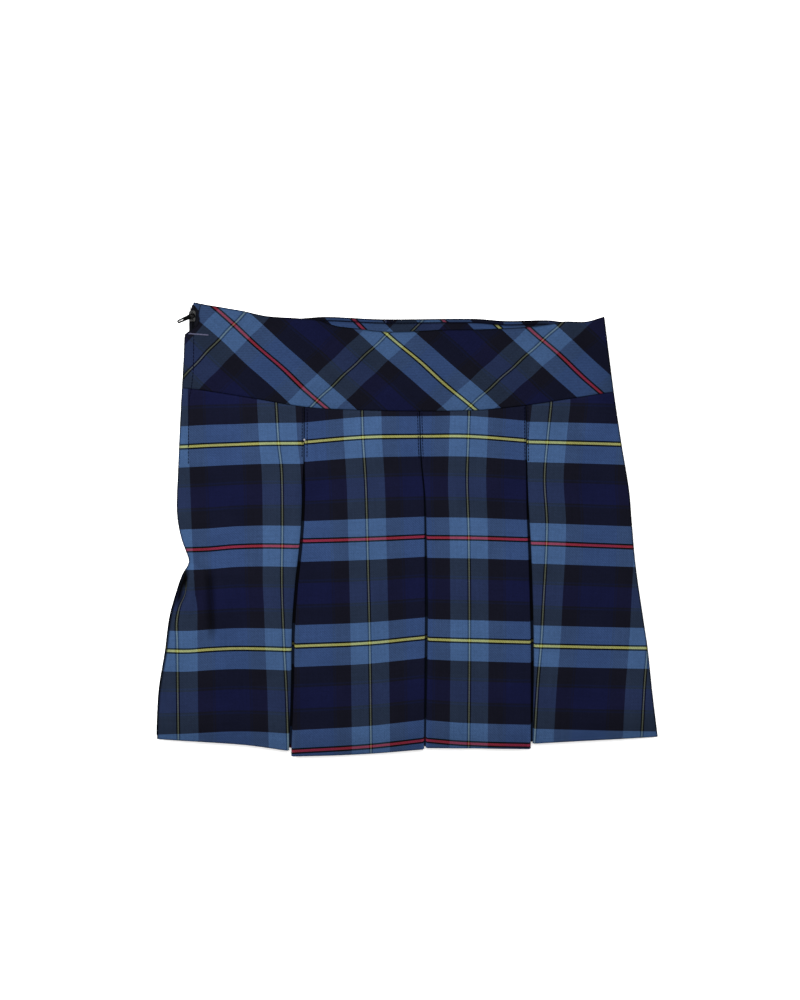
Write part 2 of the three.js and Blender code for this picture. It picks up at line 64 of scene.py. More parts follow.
# How far in from a side seam the yoke and the skirt rise to their full height, and how roundly.
YOKE_RUN = 12
SKIRT_RUN = 55
SIDE_ROUNDNESS = 0.7
PANEL_SAG = 1.2
UNDERLAY_LIFT = 3
ZIP_X = -161.3
ZIP_HIDDEN_X = -158.4
ZIP_HEAD = 167.5
ZIP_FOOT = 56
SLIDER_Y = 160
# The heights between which the zip comes out from under the lap.
ZIP_BEND = (144, 154)
# How far below the zip its lap starts to lift, and where across the front the lift dies out.
LAP_LIFT = {"below": 30, "full_x": -150, "none_x": -130}
# How far below the yoke seam the right side starts to roll over as steeply as the yoke.
YOKE_RUN_BELOW = 50

LEFT_OUTLINE = table("y x", [
    (-157.2, -188.7), (-147, -188.5), (-120, -186.9), (-93, -182.5), (-67, -179.1), (-49, -174.3),
    (-34, -169.1), (-25, -164.1), (-17, -166.2), (-8, -169.5), (5, -172.3), (18, -173.2),
    (45, -172.2), (80, -170.7), (106, -169.4), (132, -167.9), (145, -166.9),
])
RIGHT_OUTLINE = table("y x", [
    (-155.3, 188.5), (-124, 184.7), (-89, 181), (-73, 178.6), (-28, 172.1), (4, 169.2),
    (29, 167.1), (64, 161.4), (103, 155.6), (159, 148.5),
])
YOKE_SEAM = table("x y", [
    (-169, 105.8), (-156, 104.3), (-115, 97.8), (-84, 92.4), (-58, 89.8), (9, 88.2), (52, 88.9),
    (68, 90.2), (92, 93), (126, 98.2), (155, 102.8),
])
FRONT_WAIST = table("x y", [
    (-156, 169.2), (-125, 164.3), (-106, 160.2), (-84, 158.6), (-66, 157), (-54, 152.8),
    (-36, 150.6), (-18, 148.5), (5, 148.7), (28, 149.9), (58, 150.2), (89, 151.8), (107, 153.9),
    (118, 156), (135, 156), (148, 159.7),
])
BACK_WAIST = table("x y", [
    (-161, 170.8), (-153, 169.2), (-125, 163.8), (-106, 159.7), (-84, 158.4), (-61, 159.7),
    (-19, 157.9), (51, 158.2), (74, 156.6), (106, 157.1), (118, 155.8), (135, 155.7),
    (147, 159.2),
])
LAP_EDGE = table("y x", [
    (105, -169.5), (132, -168), (144.6, -167.5), (147, -166.8), (148, -165.2), (152, -158.5),
    (157, -156), (160, -156.8), (168.4, -155.4),
])
BACK_YOKE_LEFT = table("y x", [
    (105, -169.5), (132, -168), (143, -166.8), (147, -163.6), (158, -163.6), (170, -160.8),
])
PLEATS = [
    {"depth": 24, "line": table("y x", [
        (-166, -87.7), (-118, -86), (-74, -85.2), (-41, -82.8), (-25, -81), (-10, -79.4),
        (5, -78.3), (32, -77.4), (92, -77),
    ])},
    {"depth": 21, "line": table("y x", [
        (-166, 13.4), (-68, 14.6), (-14, 14.1), (24, 13.2), (54, 10.6), (92, 9.4),
    ])},
    {"depth": 25, "line": table("y x", [
        (-166, 93.5), (-91, 94.1), (-21, 92.3), (24, 90.3), (92, 89.3),
    ])},
]
PANEL_HEMS = [
    table("x y", [(-188, -158.1), (-124, -161.9), (-87, -166.8)]),
    table("x y", [(-87, -170.8), (-35, -169.2), (13, -165.4)]),
    table("x y", [(13, -164.4), (94, -165.2)]),
    table("x y", [(94, -161.2), (137, -158.8), (188, -156.4)]),
]
BACK_HEM = [{"x": -187, "y": -155}, {"x": 0, "y": -161}, {"x": 187, "y": -153}]
SHORTS = {
    "left": -147, "right": 139, "middle": -4, "top": 84, "crotch": -75, "hem": -130,
    "leg_gap": 12, "leg_curve": 1.3, "crotch_rise": 12, "hem_rise": 3, "hem_run": 150,
    "face": 0.8, "thick": 0.7,
}

# The check: half of its repeat down the cloth and across it, each stripe with its width.
WEFT_HALF = [
    ("yellow", 1.05), ("edge", 0.85), ("blue", 13.5), ("black", 12.7), ("dusk", 1.2),
    ("black", 1.3), ("navy", 15.6), ("black", 1.3), ("dusk", 1.2), ("black", 13.3),
    ("blue", 13.5), ("edge", 0.85), ("red", 1.05),
]
WARP_HALF = [
    ("pale", 0.55), ("edge", 0.95), ("blue", 12.9), ("black", 11.2), ("dusk", 1), ("black", 1),
    ("navy", 12.65),
]
HALF_WEFT = sum(width for _, width in WEFT_HALF)
WARP_BAND = sum(width for _, width in WARP_HALF[:3])
WARP_REPEAT = 2 * sum(width for _, width in WARP_HALF)

# What each yarn adds to the cloth's colour, as display values from 0 to 255.
WEFT_YARNS = {
    "yellow": (141, 138, 71),
    "red": (120, 32, 42),
    "blue": (44, 62, 92),
    "navy": (14, 15, 34),
    "dusk": (13, 15, 27),
    "black": (13, 13, 18),
    "edge": (5, 8, 4),
}
WARP_YARNS = {
    "pale": (68, 71, 54),
    "blue": (29, 38, 51),
    "navy": (12, 14, 26),
    "dusk": (12, 14, 24),
    "black": (13, 13, 18),
    "edge": (5, 8, 9),
}

# How much less light two light yarns give together than each gives alone, in red, green and blue.
YARNS_SHARE = (1.1, 0.7, 0.5)

LINE_NAMES = ["yellow_1", "red_1", "yellow_2", "red_2"]
WEFT_LINES = [
    table("x yellow_1 red_1 yellow_2 red_2", [
        (-187, 61.4, -16, -91.1, -170),
        (-165, 62.1, -15.4, -91.4, -168.7),
        (-149, 62.9, -14.8, -90.2, -167.8),
        (-130, 63.6, -13.1, -89.3, -167),
        (-107, 64.4, -12.4, -89.5, -167.5),
        (-80, 64.6, -12.8, -90.4, -169.6),
    ]),
    table("x yellow_1 red_1 yellow_2 red_2", [
        (-78, 65.3, -8.6, -87.3, -165.9),
        (-32, 69.1, -7.4, -85.5, -163.2), (9, 69.8, -5.6, -81.5, -158.6),
    ]),
    table("x yellow_1 red_1 yellow_2 red_2", [
        (12, 69.8, -6.1, -82.3, -157.9),
        (46, 69.8, -6.4, -83.4, -160.7),
        (91, 66.5, -7.7, -84.5, -161.9),
    ]),
    table("x yellow_1 red_1 yellow_2 red_2", [
        (92, 65.6, -10.3, -87.3, -165),
        (105, 65.3, -10.6, -87.5, -165.2), (170, 63.7, -13.2, -89, -167),
    ]),
]
# Where the pale line of the check runs down each front panel.
WARP_LINES = [
    table("y x", [
        (-164, -89.3), (-124, -90.5), (-91, -92.2), (-42, -94), (4, -93.6), (44, -94.2),
        (64, -96.4), (95, -98.3),
    ]),
    table("y x", [(-162, -27.2), (-86, -28.1), (-8, -29.9), (34, -31.1), (68, -33.2), (87, -33.8)]),
    table("y x", [(-162, 46.1), (-86, 46.7), (-2, 46.1), (37, 44.9), (67, 45.8), (86, 46.4)]),
    table("y x", [
        (-159, 95.5), (-118, 97.8), (-87, 100.4), (-60, 101.9), (2, 104.8), (38, 103),
        (67, 105.2), (94, 108),
    ]),
]
# The lines of the check across the yoke, each by where it stands at two heights.
YOKE_HEIGHTS = {"high": 150, "low": 90}
YOKE_WEFT_LINES = table("line high low", [
    ('yellow', -241, -178), ('red', -126.6, -60.4), ('yellow', -19.2, 49.9), ('red', 92.8, 158),
])
YOKE_WARP_LINES = table("line high low", [
    ('pale', -134.2, -191), ('pale', -10.8, -74.3), ('pale', 111, 44.4),
])
# How far those lines waver, and over how much cloth, in two slanting waves.
YOKE_WAVER = {"by": 0.3, "run": 9, "slant": 2.5, "cross_run": 14.4, "cross_slant": 1.7}
# The inner edge of the next pale band on the left, and how far its pale line lies beyond that.
# The pinch draws the cloth between them together.
SIDE_BAND = table("y x line", [
    (-157, -156.4, 15.4), (-85, -157.3, 15.5), (-70, -157.3, 15.9), (-58, -157.6, 13.3),
    (-48, -159.2, 7.4), (-36, -160.1, 6.3), (-24, -160.6, 10), (-2, -161.7, 15), (47, -163.3, 15),
    (95, -164.5, 15),
])
FACING_RED = {"x": -36.7, "y": 153.8}
FACING_ROLL_RED = {"x": 28, "y": 155.8}
FACING_ROLL_SPAN = (-16, 72)
FACING_PALE = {"x": 6.8, "y": 152}
FACING_STITCH = 3.1
FACING_DRAWN_IN = 1.06
FACING = {"left": -148, "right": 140, "below_edge": 0.4, "past_seam": 4, "thick": 0.9}
# Two close rows, as shares of the way down, keep the shade under the stitches narrow.
FACING_CLOSE_ROWS = [0.037, 0.047]
FACING_STITCH_SHADE = (0.4, 0.7)
FACING_STITCH_ENDS = (-146, 138)
# Where the check's repeat starts on the hidden pieces.
BIAS_START = (12, 8)
STRAIGHT_START = (20, 66)

# Creases of the front: a line from one end to the other, how wide and how high it stands.
# A sharp one also shades the cloth in it, and dies out over its own length of fade.
FRONT_CREASES = table("from to wide high shade fade", [
    ((-160.2, -30), (-163.5, -66), 2.6, 2.2),
    ((-166, -31), (-171.8, -56), 1.8, -1.1, 0.8, 6),
    ((-169, -36), (-173.6, -58), 2, -0.3, 0.4, 8),
    ((-165.6, -33), (-166.6, -43), 1, -0.4, 0.8, 4),
    ((-79.6, 36), (-79.9, 4), 1.1, -0.2, 0.6, 8),
    ((89, 28), (89.6, 6), 1, -0.2, 0.6, 6),
    ((-148.6, -34), (-146.8, -80), 3, -2.2, 0.58, 8),
    ((-152, -30), (-161, -24), 1.6, -0.9, 0.2, 5),
    ((-142, -20), (-139, -78), 6, 1),
    ((-160, -23), (-130, -10), 3, -1),
    ((-160, -14), (-134, 2), 4, 0.9),
    ((-157, -33), (-118, -36), 4, 0.6),
    ((-124, -96), (-118, -158), 8, -0.7),
    ((-160, -112), (-150, -156), 6, 0.6),
    ((-132, 58), (-122, 8), 7, 0.45),
    ((-48, 66), (-44, -20), 9, -0.5),
    ((-22, -60), (-26, -150), 7, 0.5),
    ((-56, -84), (-58, -164), 6, -0.45), ((34, 60), (30, -8), 7, 0.45),
    ((62, -40), (66, -158), 8, -0.5),
    ((40, -92), (36, -150), 5, 0.4),
    ((116, 74), (122, -6), 7, -0.5),
    ((134, -30), (141, -120), 9, 0.6),
    ((152, -66), (166, -150), 6, -0.6),
    ((110, -100), (113, -156), 5, 0.4),
    ((-128, 138), (-112, 106), 6, 0.35),
    ((-6, 146), (10, 112), 6, -0.4),
    ((78, 136), (96, 104), 7, 0.35),
    ((128, 148), (136, 118), 5, -0.35),
])
CREASE_FADE = 12
# How many of its widths a crease reaches, and how far from the side and yoke seams it dies out.
CREASE_REACH = 3
CREASE_END = {"side": 5, "seam": 8}
EDGE_DIPS = [
    {"panel": 0, "pleat": 0, "deep": 0.42, "wide": 3.4, "below": 48},
    {"panel": 3, "pleat": 2, "deep": 0.36, "wide": 3, "below": 46},
    {"panel": 1, "pleat": 1, "deep": 0.16, "wide": 2.4, "below": 48},
]
# How far each pleat's two folds stand open, on its left and on its right, which share of that
# is left at the hem, and the heights above which they are shut and below which fully open.
PLEAT_OPENINGS = [
    {"left": 0.85, "right": 0.9, "at_hem": 0.75, "shut": 58, "open": 28},
    {"left": 0.75, "right": 0.75, "at_hem": 0.5, "shut": 90, "open": -60},
    {"left": 0.9, "right": 0.9, "at_hem": 0.6, "shut": 78, "open": -30},
]
# The distances below the middle between which the openings change to what is left at the hem.
OPENING_CHANGE = (100, 160)
# Only layers above a height dip, within a reach of the pleat, and fully below a short run.
DIP_FLOOR = 3.7
DIP_REACH = (0.4, 12)
DIP_RUN = {"below": 20, "above": 6}
# How far inside the back's left edge the front's lies below the pinch, and where that changes.
PINCH_INSET = 1.4
PINCH_RUN = (25, 45)
PINCH_EASE = (90, 170)
# The share of the light that reaches the inside of a fold, and how far in it falls to that.
FOLD_LIGHT = 0.12
FOLD_LIGHT_RUN = (0.4, 1.8)
# The back's left edge is dark from the pinch down, and grows lighter in from the edge.
BACK_SHADE = {"from": 20, "full": 40, "dark": 2, "light": 5}
# How much light an edge, the hem's rim and the yoke show, and how far in that reaches.
EDGE_LIGHT = 0.2
EDGE_LIGHT_RUN = (0.2, 1.5)
HEM_TURN = 0.6
HEM_LIGHT = 0.78
HEM_LIGHT_REACH = 26
YOKE_LIGHT = 0.78
# The skirt's top edge is tucked in under the yoke.
SEAM_TUCK = {"in": 1.6, "down": 0.35}

# Creases of the back, which lies on the table: hollows that lift its face off it.
BACK_CREASES = table("from to wide high", [
    ((-158, -28), (-104, -44), 5, 0.35),
    ((-160, -20), (-118, 2), 4, 0.3),
    ((-120, 60), (-112, -60), 8, 0.3),
    ((-66, -30), (-74, -146), 7, 0.35),
    ((-12, 70), (-18, -20), 9, 0.25),
    ((6, -64), (12, -150), 6, 0.35), ((58, 40), (66, -70), 8, 0.3),
    ((104, -20), (116, -140), 9, 0.35),
    ((146, -40), (160, -132), 6, 0.3),
    ((-60, 150), (-40, 108), 7, 0.25),
    ((60, 146), (84, 104), 6, 0.25),
])

PLEAT_STITCH_ENDS = [
    {"left": 1.5, "right": 2.2, "from": 91, "to": 55},
    {"left": 1.6, "right": 1.6, "from": 87, "to": 54},
    {"left": 1.3, "right": 1.3, "from": 91, "to": 52},
]
LAP_STITCHES = table("x y", [
    (-160, 144.4), (-160.3, 119), (-161.4, 108), (-163.3, 98), (-163.9, 82), (-164, 50),
])

# Lengths of thread and the coil's teeth: each one's size, and how far apart they lie.
STITCH = {"long": 2.1, "wide": 0.62, "tall": 0.34, "pitch": 2.45, "uneven": 0.08, "rise": 0.06}
TACK_STITCH = {"long": 0.9, "wide": 0.45, "tall": 0.4, "pitch": 0.6, "uneven": 0.12, "rise": 0.1}
KNOT_STITCH = {"long": 0.8, "wide": 0.6, "tall": 0.6, "pitch": 0.3, "uneven": 0.1}
TOOTH = {"long": 0.5, "wide": 1.1, "tall": 0.9, "pitch": 0.75, "uneven": 0.0}
# Steps along each row of stitches and each coil, and how far the stitches keep off the seam.
PLEAT_STITCH_STEPS = 24
LAP_STITCH_STEPS = 8
FACING_STITCH_STEPS = 80
COIL_STEPS = 90
SEAM_CLEAR = 2
BAR_TACK = {"left": -163.8, "left_y": 146.7, "right": -149.4, "right_y": 145.5, "steps": 12}
BAR_TACK_LINES = (-0.22, 0.22)
THREAD_END = (-76.7, 66.2)
THREAD_END_STEPS = table("x y z", [(0, 0, 0), (0.3, 0.6, 0.5), (-0.4, 1.2, 0.7), (-0.6, 0.5, 0.4)])
TAPE_THICK = 0.7
TAPE_STITCHES = {"x": -161.8, "low": 146, "high": 165, "step": 2}
COIL_Z = 3.6
# How far each coil lies from the zip's middle, below the slider and above it.
STRANDS = {"closed": 0.55, "open": 1.3, "below": 1, "above": 2}
ZIP_TAPES = {
    "front": {"right": -149, "head_left": 165.5, "head_right": 156, "head_from": -158.6},
    "back": {"right": -151, "head_left": 168.6, "head_right": 156, "head_from": -161},
}
# The front tape starts beside the coil, and the back one follows the back yoke's edge.
TAPE_CLEAR = 0.85
BACK_TAPE = {"low": -162.6, "high": -163.9, "bend": (142, 147), "slant": 2.2, "top": (160, 168.8)}
TAPE_PAST_FOOT = 4
TAPE_SHELL = 0.5

# Distances of the close steps at a rounded edge, its radius, and the steps of a fold's turn.
EDGE_STEPS = [0, 0.12, 0.35, 0.7, 1.2, 2]
EDGE_ROUND = 1.1
TURN_STEPS = 7
# The size of each piece's grid of points, and its steps across and down.
GRIDS = {
    "front_yoke": {"wide": 310, "across": 150, "high": 65, "down": 34},
    "back_skirt": {"wide": 340, "across": 110, "high": 250, "down": 80},
    "back_yoke": {"wide": 310, "across": 100, "high": 65, "down": 24},
    "facing": {"wide": 288, "across": 160, "high": 60, "down": 60},
    "shorts": {"wide": 140, "across": 24, "high": 214, "down": 36},
    "zip_tape": {"wide": 10, "across": 12, "high": 110, "down": 60},
}
PANEL_GRID = {"wide": 100, "outer": 44, "inner": 40, "down": 110}
YOKE_WIDE = 310
YOKE_HIGH = 60
# Rounds in which the two coordinates of a place settle on each other.
GRID_ROUNDS = 8
PANEL_ROUNDS = 5
# The height of a pleat's foot, and how far to each side its hem steps from panel to panel.
PLEAT_FOOT = -160
HEM_STEP = 8
# The share of a pleat's fold, at each end, that hangs with the panel beside it.
TURN_SHARE = 0.1
SAG_BELOW_SEAM = 0.3

# The twill: its pitch, how far the yarn on top leads the colour, and how deep its threads are.
TWILL_PITCH = 0.45
TWILL_LEAD = 0.18
TWILL_DEEP = 0.12
TAPE_PITCH = 0.7
PLAIN_DEEP = 0.1
BUMP_STRENGTH = 0.5
# Streaks along the yarns: how close they lie along and across them, and how strong they are.
STREAKS = {"along": 0.03, "across": 1.1, "by": 0.14, "base": 0.86}
GAMMA = 2.2

# The studio in metres and watts. The floor's glow keeps shadows on it as faint as in the photo.
CAMERA = {"away": 1.8, "picture": 0.75, "x": -0.00525, "y": 0.02175, "garment": 0.007, "clip": 10}
FLOOR = {"half": 1.6, "z": -0.0002, "glow": 0.35}
SKY_LIGHT = 0.42
LAMPS = table("name place target size power", [
    ("overhead", (0, 0.5, 2.2), (0, 0, 0), 1.3, 42),
    ("right", (0.75, 0.3, 0.6), (0.05, 0.04, 0), 0.35, 2.5),
    ("key", (-0.4, 0.45, 0.7), (-0.05, 0.04, 0), 0.35, 8.5),
])


def clamp(value, low=0.0, high=1.0):
    return max(low, min(high, value))


def lerp(a, b, t):
    return a + (b - a) * t


def even(start, end, steps):
    """Values from one to another in even steps."""
    return [lerp(start, end, i / steps) for i in range(steps + 1)]


def smoothstep(value, low, high):
    t = clamp((value - low) / (high - low))
    return t * t * (3 - 2 * t)


def curve_of(rows, start, end, beyond=False):
    """A smooth curve through a table's rows, as a function from one column to the other."""
    count = len(rows)
    slopes = []
    for i in range(count):
        before = rows[max(0, i - 1)]
        after = rows[min(count - 1, i + 1)]
        slopes.append((after[end] - before[end]) / (after[start] - before[start]))

    def at(value):
        inside = clamp(value, rows[0][start], rows[-1][start])
        i = 0
        while i < count - 2 and inside > rows[i + 1][start]:
            i += 1
        span = rows[i + 1][start] - rows[i][start]
        t = (inside - rows[i][start]) / span
        rise = rows[i + 1][end] - rows[i][end]
        bend = (1 - t) * (slopes[i] * span - rise) - t * (slopes[i + 1] * span - rise)
        found = rows[i][end] + t * rise + t * (1 - t) * bend
        if beyond:
            found += (value - inside) * slopes[0 if value < inside else -1]
        return found

    return at


left_outline = curve_of(LEFT_OUTLINE, "y", "x")
right_outline = curve_of(RIGHT_OUTLINE, "y", "x")
yoke_seam = curve_of(YOKE_SEAM, "x", "y")
front_waist = curve_of(FRONT_WAIST, "x", "y")
back_waist = curve_of(BACK_WAIST, "x", "y")
lap_edge = curve_of(LAP_EDGE, "y", "x")
back_yoke_left = curve_of(BACK_YOKE_LEFT, "y", "x")
back_hem = curve_of(BACK_HEM, "x", "y")
panel_hems = [curve_of(rows, "x", "y") for rows in PANEL_HEMS]
pleat_lines = [curve_of(pleat["line"], "y", "x") for pleat in PLEATS]
warp_lines = [curve_of(rows, "y", "x") for rows in WARP_LINES]
side_band = curve_of(SIDE_BAND, "y", "x")
side_band_line = curve_of(SIDE_BAND, "y", "line")
weft_lines = [[curve_of(rows, "x", name, True) for name in LINE_NAMES] for rows in WEFT_LINES]


def side_rise(distance, run):
    """How far the front has risen from a side seam, from 0 to 1."""
    return math.sin(math.pi / 2 * clamp(distance / run)) ** SIDE_ROUNDNESS


def front_height(x, y):
    """The middle of the front wall over the table, before its panels sag between pleats."""
    seam = yoke_seam(x)
    level = lerp(PLEAT_Z, WAIST_Z, smoothstep(y, seam, front_waist(x)))
    by_zip = smoothstep(y, ZIP_FOOT - LAP_LIFT["below"], ZIP_FOOT)
    lift = by_zip * (1 - smoothstep(x, LAP_LIFT["full_x"], LAP_LIFT["none_x"]))
    raised = lerp(level, max(level, ZIP_LAP_Z), lift)
    left_run = lerp(SKIRT_RUN, YOKE_RUN, by_zip)
    right_run = lerp(SKIRT_RUN, YOKE_RUN, smoothstep(y, seam - YOKE_RUN_BELOW, seam))
    from_left = side_rise(x - left_outline(y), left_run)
    from_right = side_rise(right_outline(y) - x, right_run)
    return SIDE_Z + (raised - SIDE_Z) * from_left * from_right


def along_line(line, x, y):
    """How far along a line a point is, as a share, and how far it lies beside it."""
    x0, y0 = line["from"]
    dx, dy = line["to"][0] - x0, line["to"][1] - y0
    length = math.hypot(dx, dy)
    along = ((x - x0) * dx + (y - y0) * dy) / length
    beside = ((x - x0) * dy - (y - y0) * dx) / length
    return along, beside, length


def creased(creases, x, y, what="high"):
    """The height that the creases add at a point, or the shade that they throw on it."""
    total = 0
    for crease in creases:
        along, beside, length = along_line(crease, x, y)
        fade = crease.get("fade", CREASE_FADE)
        if -fade < along < length + fade and abs(beside) < CREASE_REACH * crease["wide"]:
            ends = smoothstep(along, -fade, fade)
            ends *= 1 - smoothstep(along, length - fade, length + fade)
            total += crease.get(what, 0) * ends * math.exp(-((beside / crease["wide"]) ** 2))
    return total


def edge_light(distance):
    """How much light cloth shows at a distance in from an edge that turns away."""
    return lerp(EDGE_LIGHT, 1, smoothstep(distance, *EDGE_LIGHT_RUN))


def front_light(index, x, y):
    """How much light a point of a front panel shows: less at its edges, hem and sharp creases."""
    above_hem = y - panel_hems[index](x)
    light = edge_light(min(x - front_left(y), right_outline(y) - x, above_hem + HEM_TURN))
    light *= lerp(HEM_LIGHT, 1, smoothstep(above_hem, 0, HEM_LIGHT_REACH))
    return light * (1 - clamp(creased(FRONT_CREASES, x, y, "shade")))


def relief(x, y):
    """The creases of the front, which die out at its side seams and at the yoke seam."""
    inside = smoothstep(min(x - left_outline(y), right_outline(y) - x), 0, CREASE_END["side"])
    by_seam = smoothstep(abs(y - yoke_seam(x)), 0, CREASE_END["seam"])
    return creased(FRONT_CREASES, x, y) * inside * by_seam


def dipped(x, y, z):
    """The layers at a pleat's edge press down together, where the panel beside it lies over."""
    share = 1
    for dip in EDGE_DIPS:
        line = pleat_lines[dip["pleat"]](y)
        beside = x - line if dip["panel"] > dip["pleat"] else line - x
        if DIP_REACH[0] < beside < DIP_REACH[1]:
            top = dip["below"]
            below = 1 - smoothstep(y, top - DIP_RUN["below"], top + DIP_RUN["above"])
            share -= dip["deep"] * below * math.exp(-((beside / dip["wide"]) ** 2))
    return z if z < DIP_FLOOR else DIP_FLOOR + (z - DIP_FLOOR) * share


def spaced(length, steps, edges=(True, True)):
    """Shares of a length, evenly spaced, with close steps at the edges that are rounded."""
    near = [step / length for step in EDGE_STEPS]
    shares = {i / steps for i in range(steps + 1)}
    if edges[0]:
        shares = {s for s in shares if s > near[-1]} | set(near)
    if edges[1]:
        shares = {s for s in shares if s < 1 - near[-1]} | {1 - s for s in near}
    return sorted(shares)


def grid_steps(name):
    """Where a piece's grid has points, as shares of the way across and of the way down."""
    grid = GRIDS[name]
    return spaced(grid["wide"], grid["across"]), spaced(grid["high"], grid["down"])


def edge_drop(distance):
    """How far cloth falls at a turned edge, at a distance in from it."""
    inside = clamp(1 - distance / EDGE_ROUND)
    return EDGE_ROUND * (1 - math.sqrt(1 - inside * inside))


def panel_grid(left, right, top, bottom, columns, rows):
    """Places on a panel between four edges, in rows from its top to its bottom."""
    grid = []
    for down in rows:
        row = []
        for across in columns:
            y = lerp(top(0), bottom(0), down)
            x = 0
            for _ in range(GRID_ROUNDS):
                x = lerp(left(y), right(y), across)
                y = lerp(top(x), bottom(x), down)
            row.append((x, y))
        grid.append(row)
    return grid


def cloth_mesh(name, grid, weave, flip=False, shades=None):
    """A mesh through a grid of points in millimetres, with the weave's own coordinates as UV.

    shades says how much light reaches each point, from 0 to 1, where that is less than all of it.
    """
    columns = len(grid[0])
    verts = [Vector(point) * MM for row in grid for point in row]
    flat_weave = [pair for row in weave for pair in row]
    faces = []
    for r in range(len(grid) - 1):
        for c in range(columns - 1):
            a = r * columns + c
            quad = (a, a + columns, a + columns + 1, a + 1)
            faces.append(quad[::-1] if flip else quad)
    mesh = bpy.data.meshes.new(name)
    mesh.from_pydata(verts, [], faces)
    uv = mesh.uv_layers.new(name="weave")
    for loop in mesh.loops:
        uv.data[loop.index].uv = flat_weave[loop.vertex_index]
    light = mesh.attributes.new("light", "FLOAT", "POINT")
    for i in range(len(verts)):
        light.data[i].value = shades[i // columns][i % columns] if shades else 1
    mesh.shade_smooth()
    piece = bpy.data.objects.new(name, mesh)
    bpy.context.collection.objects.link(piece)
    return piece


def thicken(piece, thickness=SHELL):
    """Gives cloth its thickness, behind its face."""
    wall = piece.modifiers.new("thickness", "SOLIDIFY")
    wall.thickness = thickness * MM
    wall.offset = -1
    wall.use_rim = True
    return piece


def weft_place(index, x, y):
    """How far down the cloth a point of a front panel lies, measured along the check."""
    heights = [line(x) for line in weft_lines[index]]
    i = 0
    while i < len(heights) - 2 and y < heights[i + 1]:
        i += 1
    return HALF_WEFT * (i + (heights[i] - y) / (heights[i] - heights[i + 1]))


def warp_place(index, x, y):
    """How far across the cloth a point of a front panel lies, measured along the check."""
    line = warp_lines[index](y)
    if index == 0 and x < line:
        band = side_band(y)
        if x > band:
            return (WARP_REPEAT - WARP_BAND) * (x - line) / (line - band)
        return WARP_BAND - WARP_REPEAT + WARP_BAND * (x - band) / side_band_line(y)
    return x - line + 2 * WARP_REPEAT * index


def panel_sag(index, x, y, share):
    if index in (0, len(PLEATS)):
        return 0
    start = pleat_lines[index - 1](y) + PLEATS[index - 1]["depth"]
    end = pleat_lines[index](y) - PLEATS[index]["depth"]
    across = clamp((x - start) / (end - start))
    return PANEL_SAG * math.sin(math.pi * across) ** 2 * smoothstep(share, 0, SAG_BELOW_SEAM)


def front_left(y):
    """The front's left edge, which lies a little inside the back's below the pinch."""
    inset = PINCH_INSET * smoothstep(-y, *PINCH_RUN) * (1 - smoothstep(-y, *PINCH_EASE) / 2)
    return left_outline(y) + inset


def fold_edge(pleat, side, y):
    """How far from a pleat's line the flat part of the panel beside it ends."""
    opens = PLEAT_OPENINGS[pleat]
    opening = opens[side] * (1 - smoothstep(y, opens["open"], opens["shut"]))
    opening *= lerp(1, opens["at_hem"], smoothstep(-y, *OPENING_CHANGE))
    return GAP / 2 + LAYER / 2 + CLOTH / 2 + opening


def panel_section(index, share, shares_across):
    """The points of one front panel at one share of the way down, with their places in the weave."""
    hem = panel_hems[index]
    section = []
    for across in shares_across:
        y = lerp(YOKE_SEAM[0]["y"], hem(0), share)
        x = 0
        for _ in range(PANEL_ROUNDS):
            if index == 0:
                left = front_left(y)
            else:
                left = pleat_lines[index - 1](y) + fold_edge(index - 1, "right", y)
            if index == len(PLEATS):
                right = right_outline(y)
            else:
                right = pleat_lines[index](y) - fold_edge(index, "left", y)
            x = lerp(left, right, across)
            y = lerp(yoke_seam(x) - GAP / 2, hem(x), share)
        z = front_height(x, y) - panel_sag(index, x, y, share) + relief(x, y)
        section.append({
            "x": x, "y": y, "z": z, "normal": (0, 1), "light": front_light(index, x, y),
            "weave": (warp_place(index, x, y), weft_place(index, x, y)),
        })
    return section


def half_turn(x, z, side, down):
    """The points of one half turn of the cloth, from one layer to the next."""
    points = []
    for i in range(TURN_STEPS + 1):
        angle = math.pi * i / TURN_STEPS
        away = (side * math.sin(angle), down * math.cos(angle))
        outwards = 1 if down * side > 0 else -1
        points.append({
            "x": x + LAYER / 2 * away[0],
            "z": z + LAYER / 2 * away[1],
            "normal": (outwards * away[0], outwards * away[1]),
        })
    return points


def pleat_section(index, y):
    """The section of one inverted pleat: under, back, across and up again."""
    x = pleat_lines[index](y)
    depth = PLEATS[index]["depth"] - LAYER / 2 - CLOTH / 2
    upper = (PLEAT_Z + RETURN_Z) / 2
    lower = (RETURN_Z + UNDERLAY_Z) / 2
    points = half_turn(x - fold_edge(index, "left", y), upper, 1, 1)
    points += half_turn(x - depth, lower, -1, 1)
    points += half_turn(x + depth, lower, 1, -1)
    points += half_turn(x + fold_edge(index, "right", y), upper, -1, -1)
    run = [0]
    for a, b in zip(points, points[1:]):
        run.append(run[-1] + math.hypot(b["x"] - a["x"], b["z"] - a["z"]))
    for point, length in zip(points, run):
        point["along"] = length / run[-1]
    return points


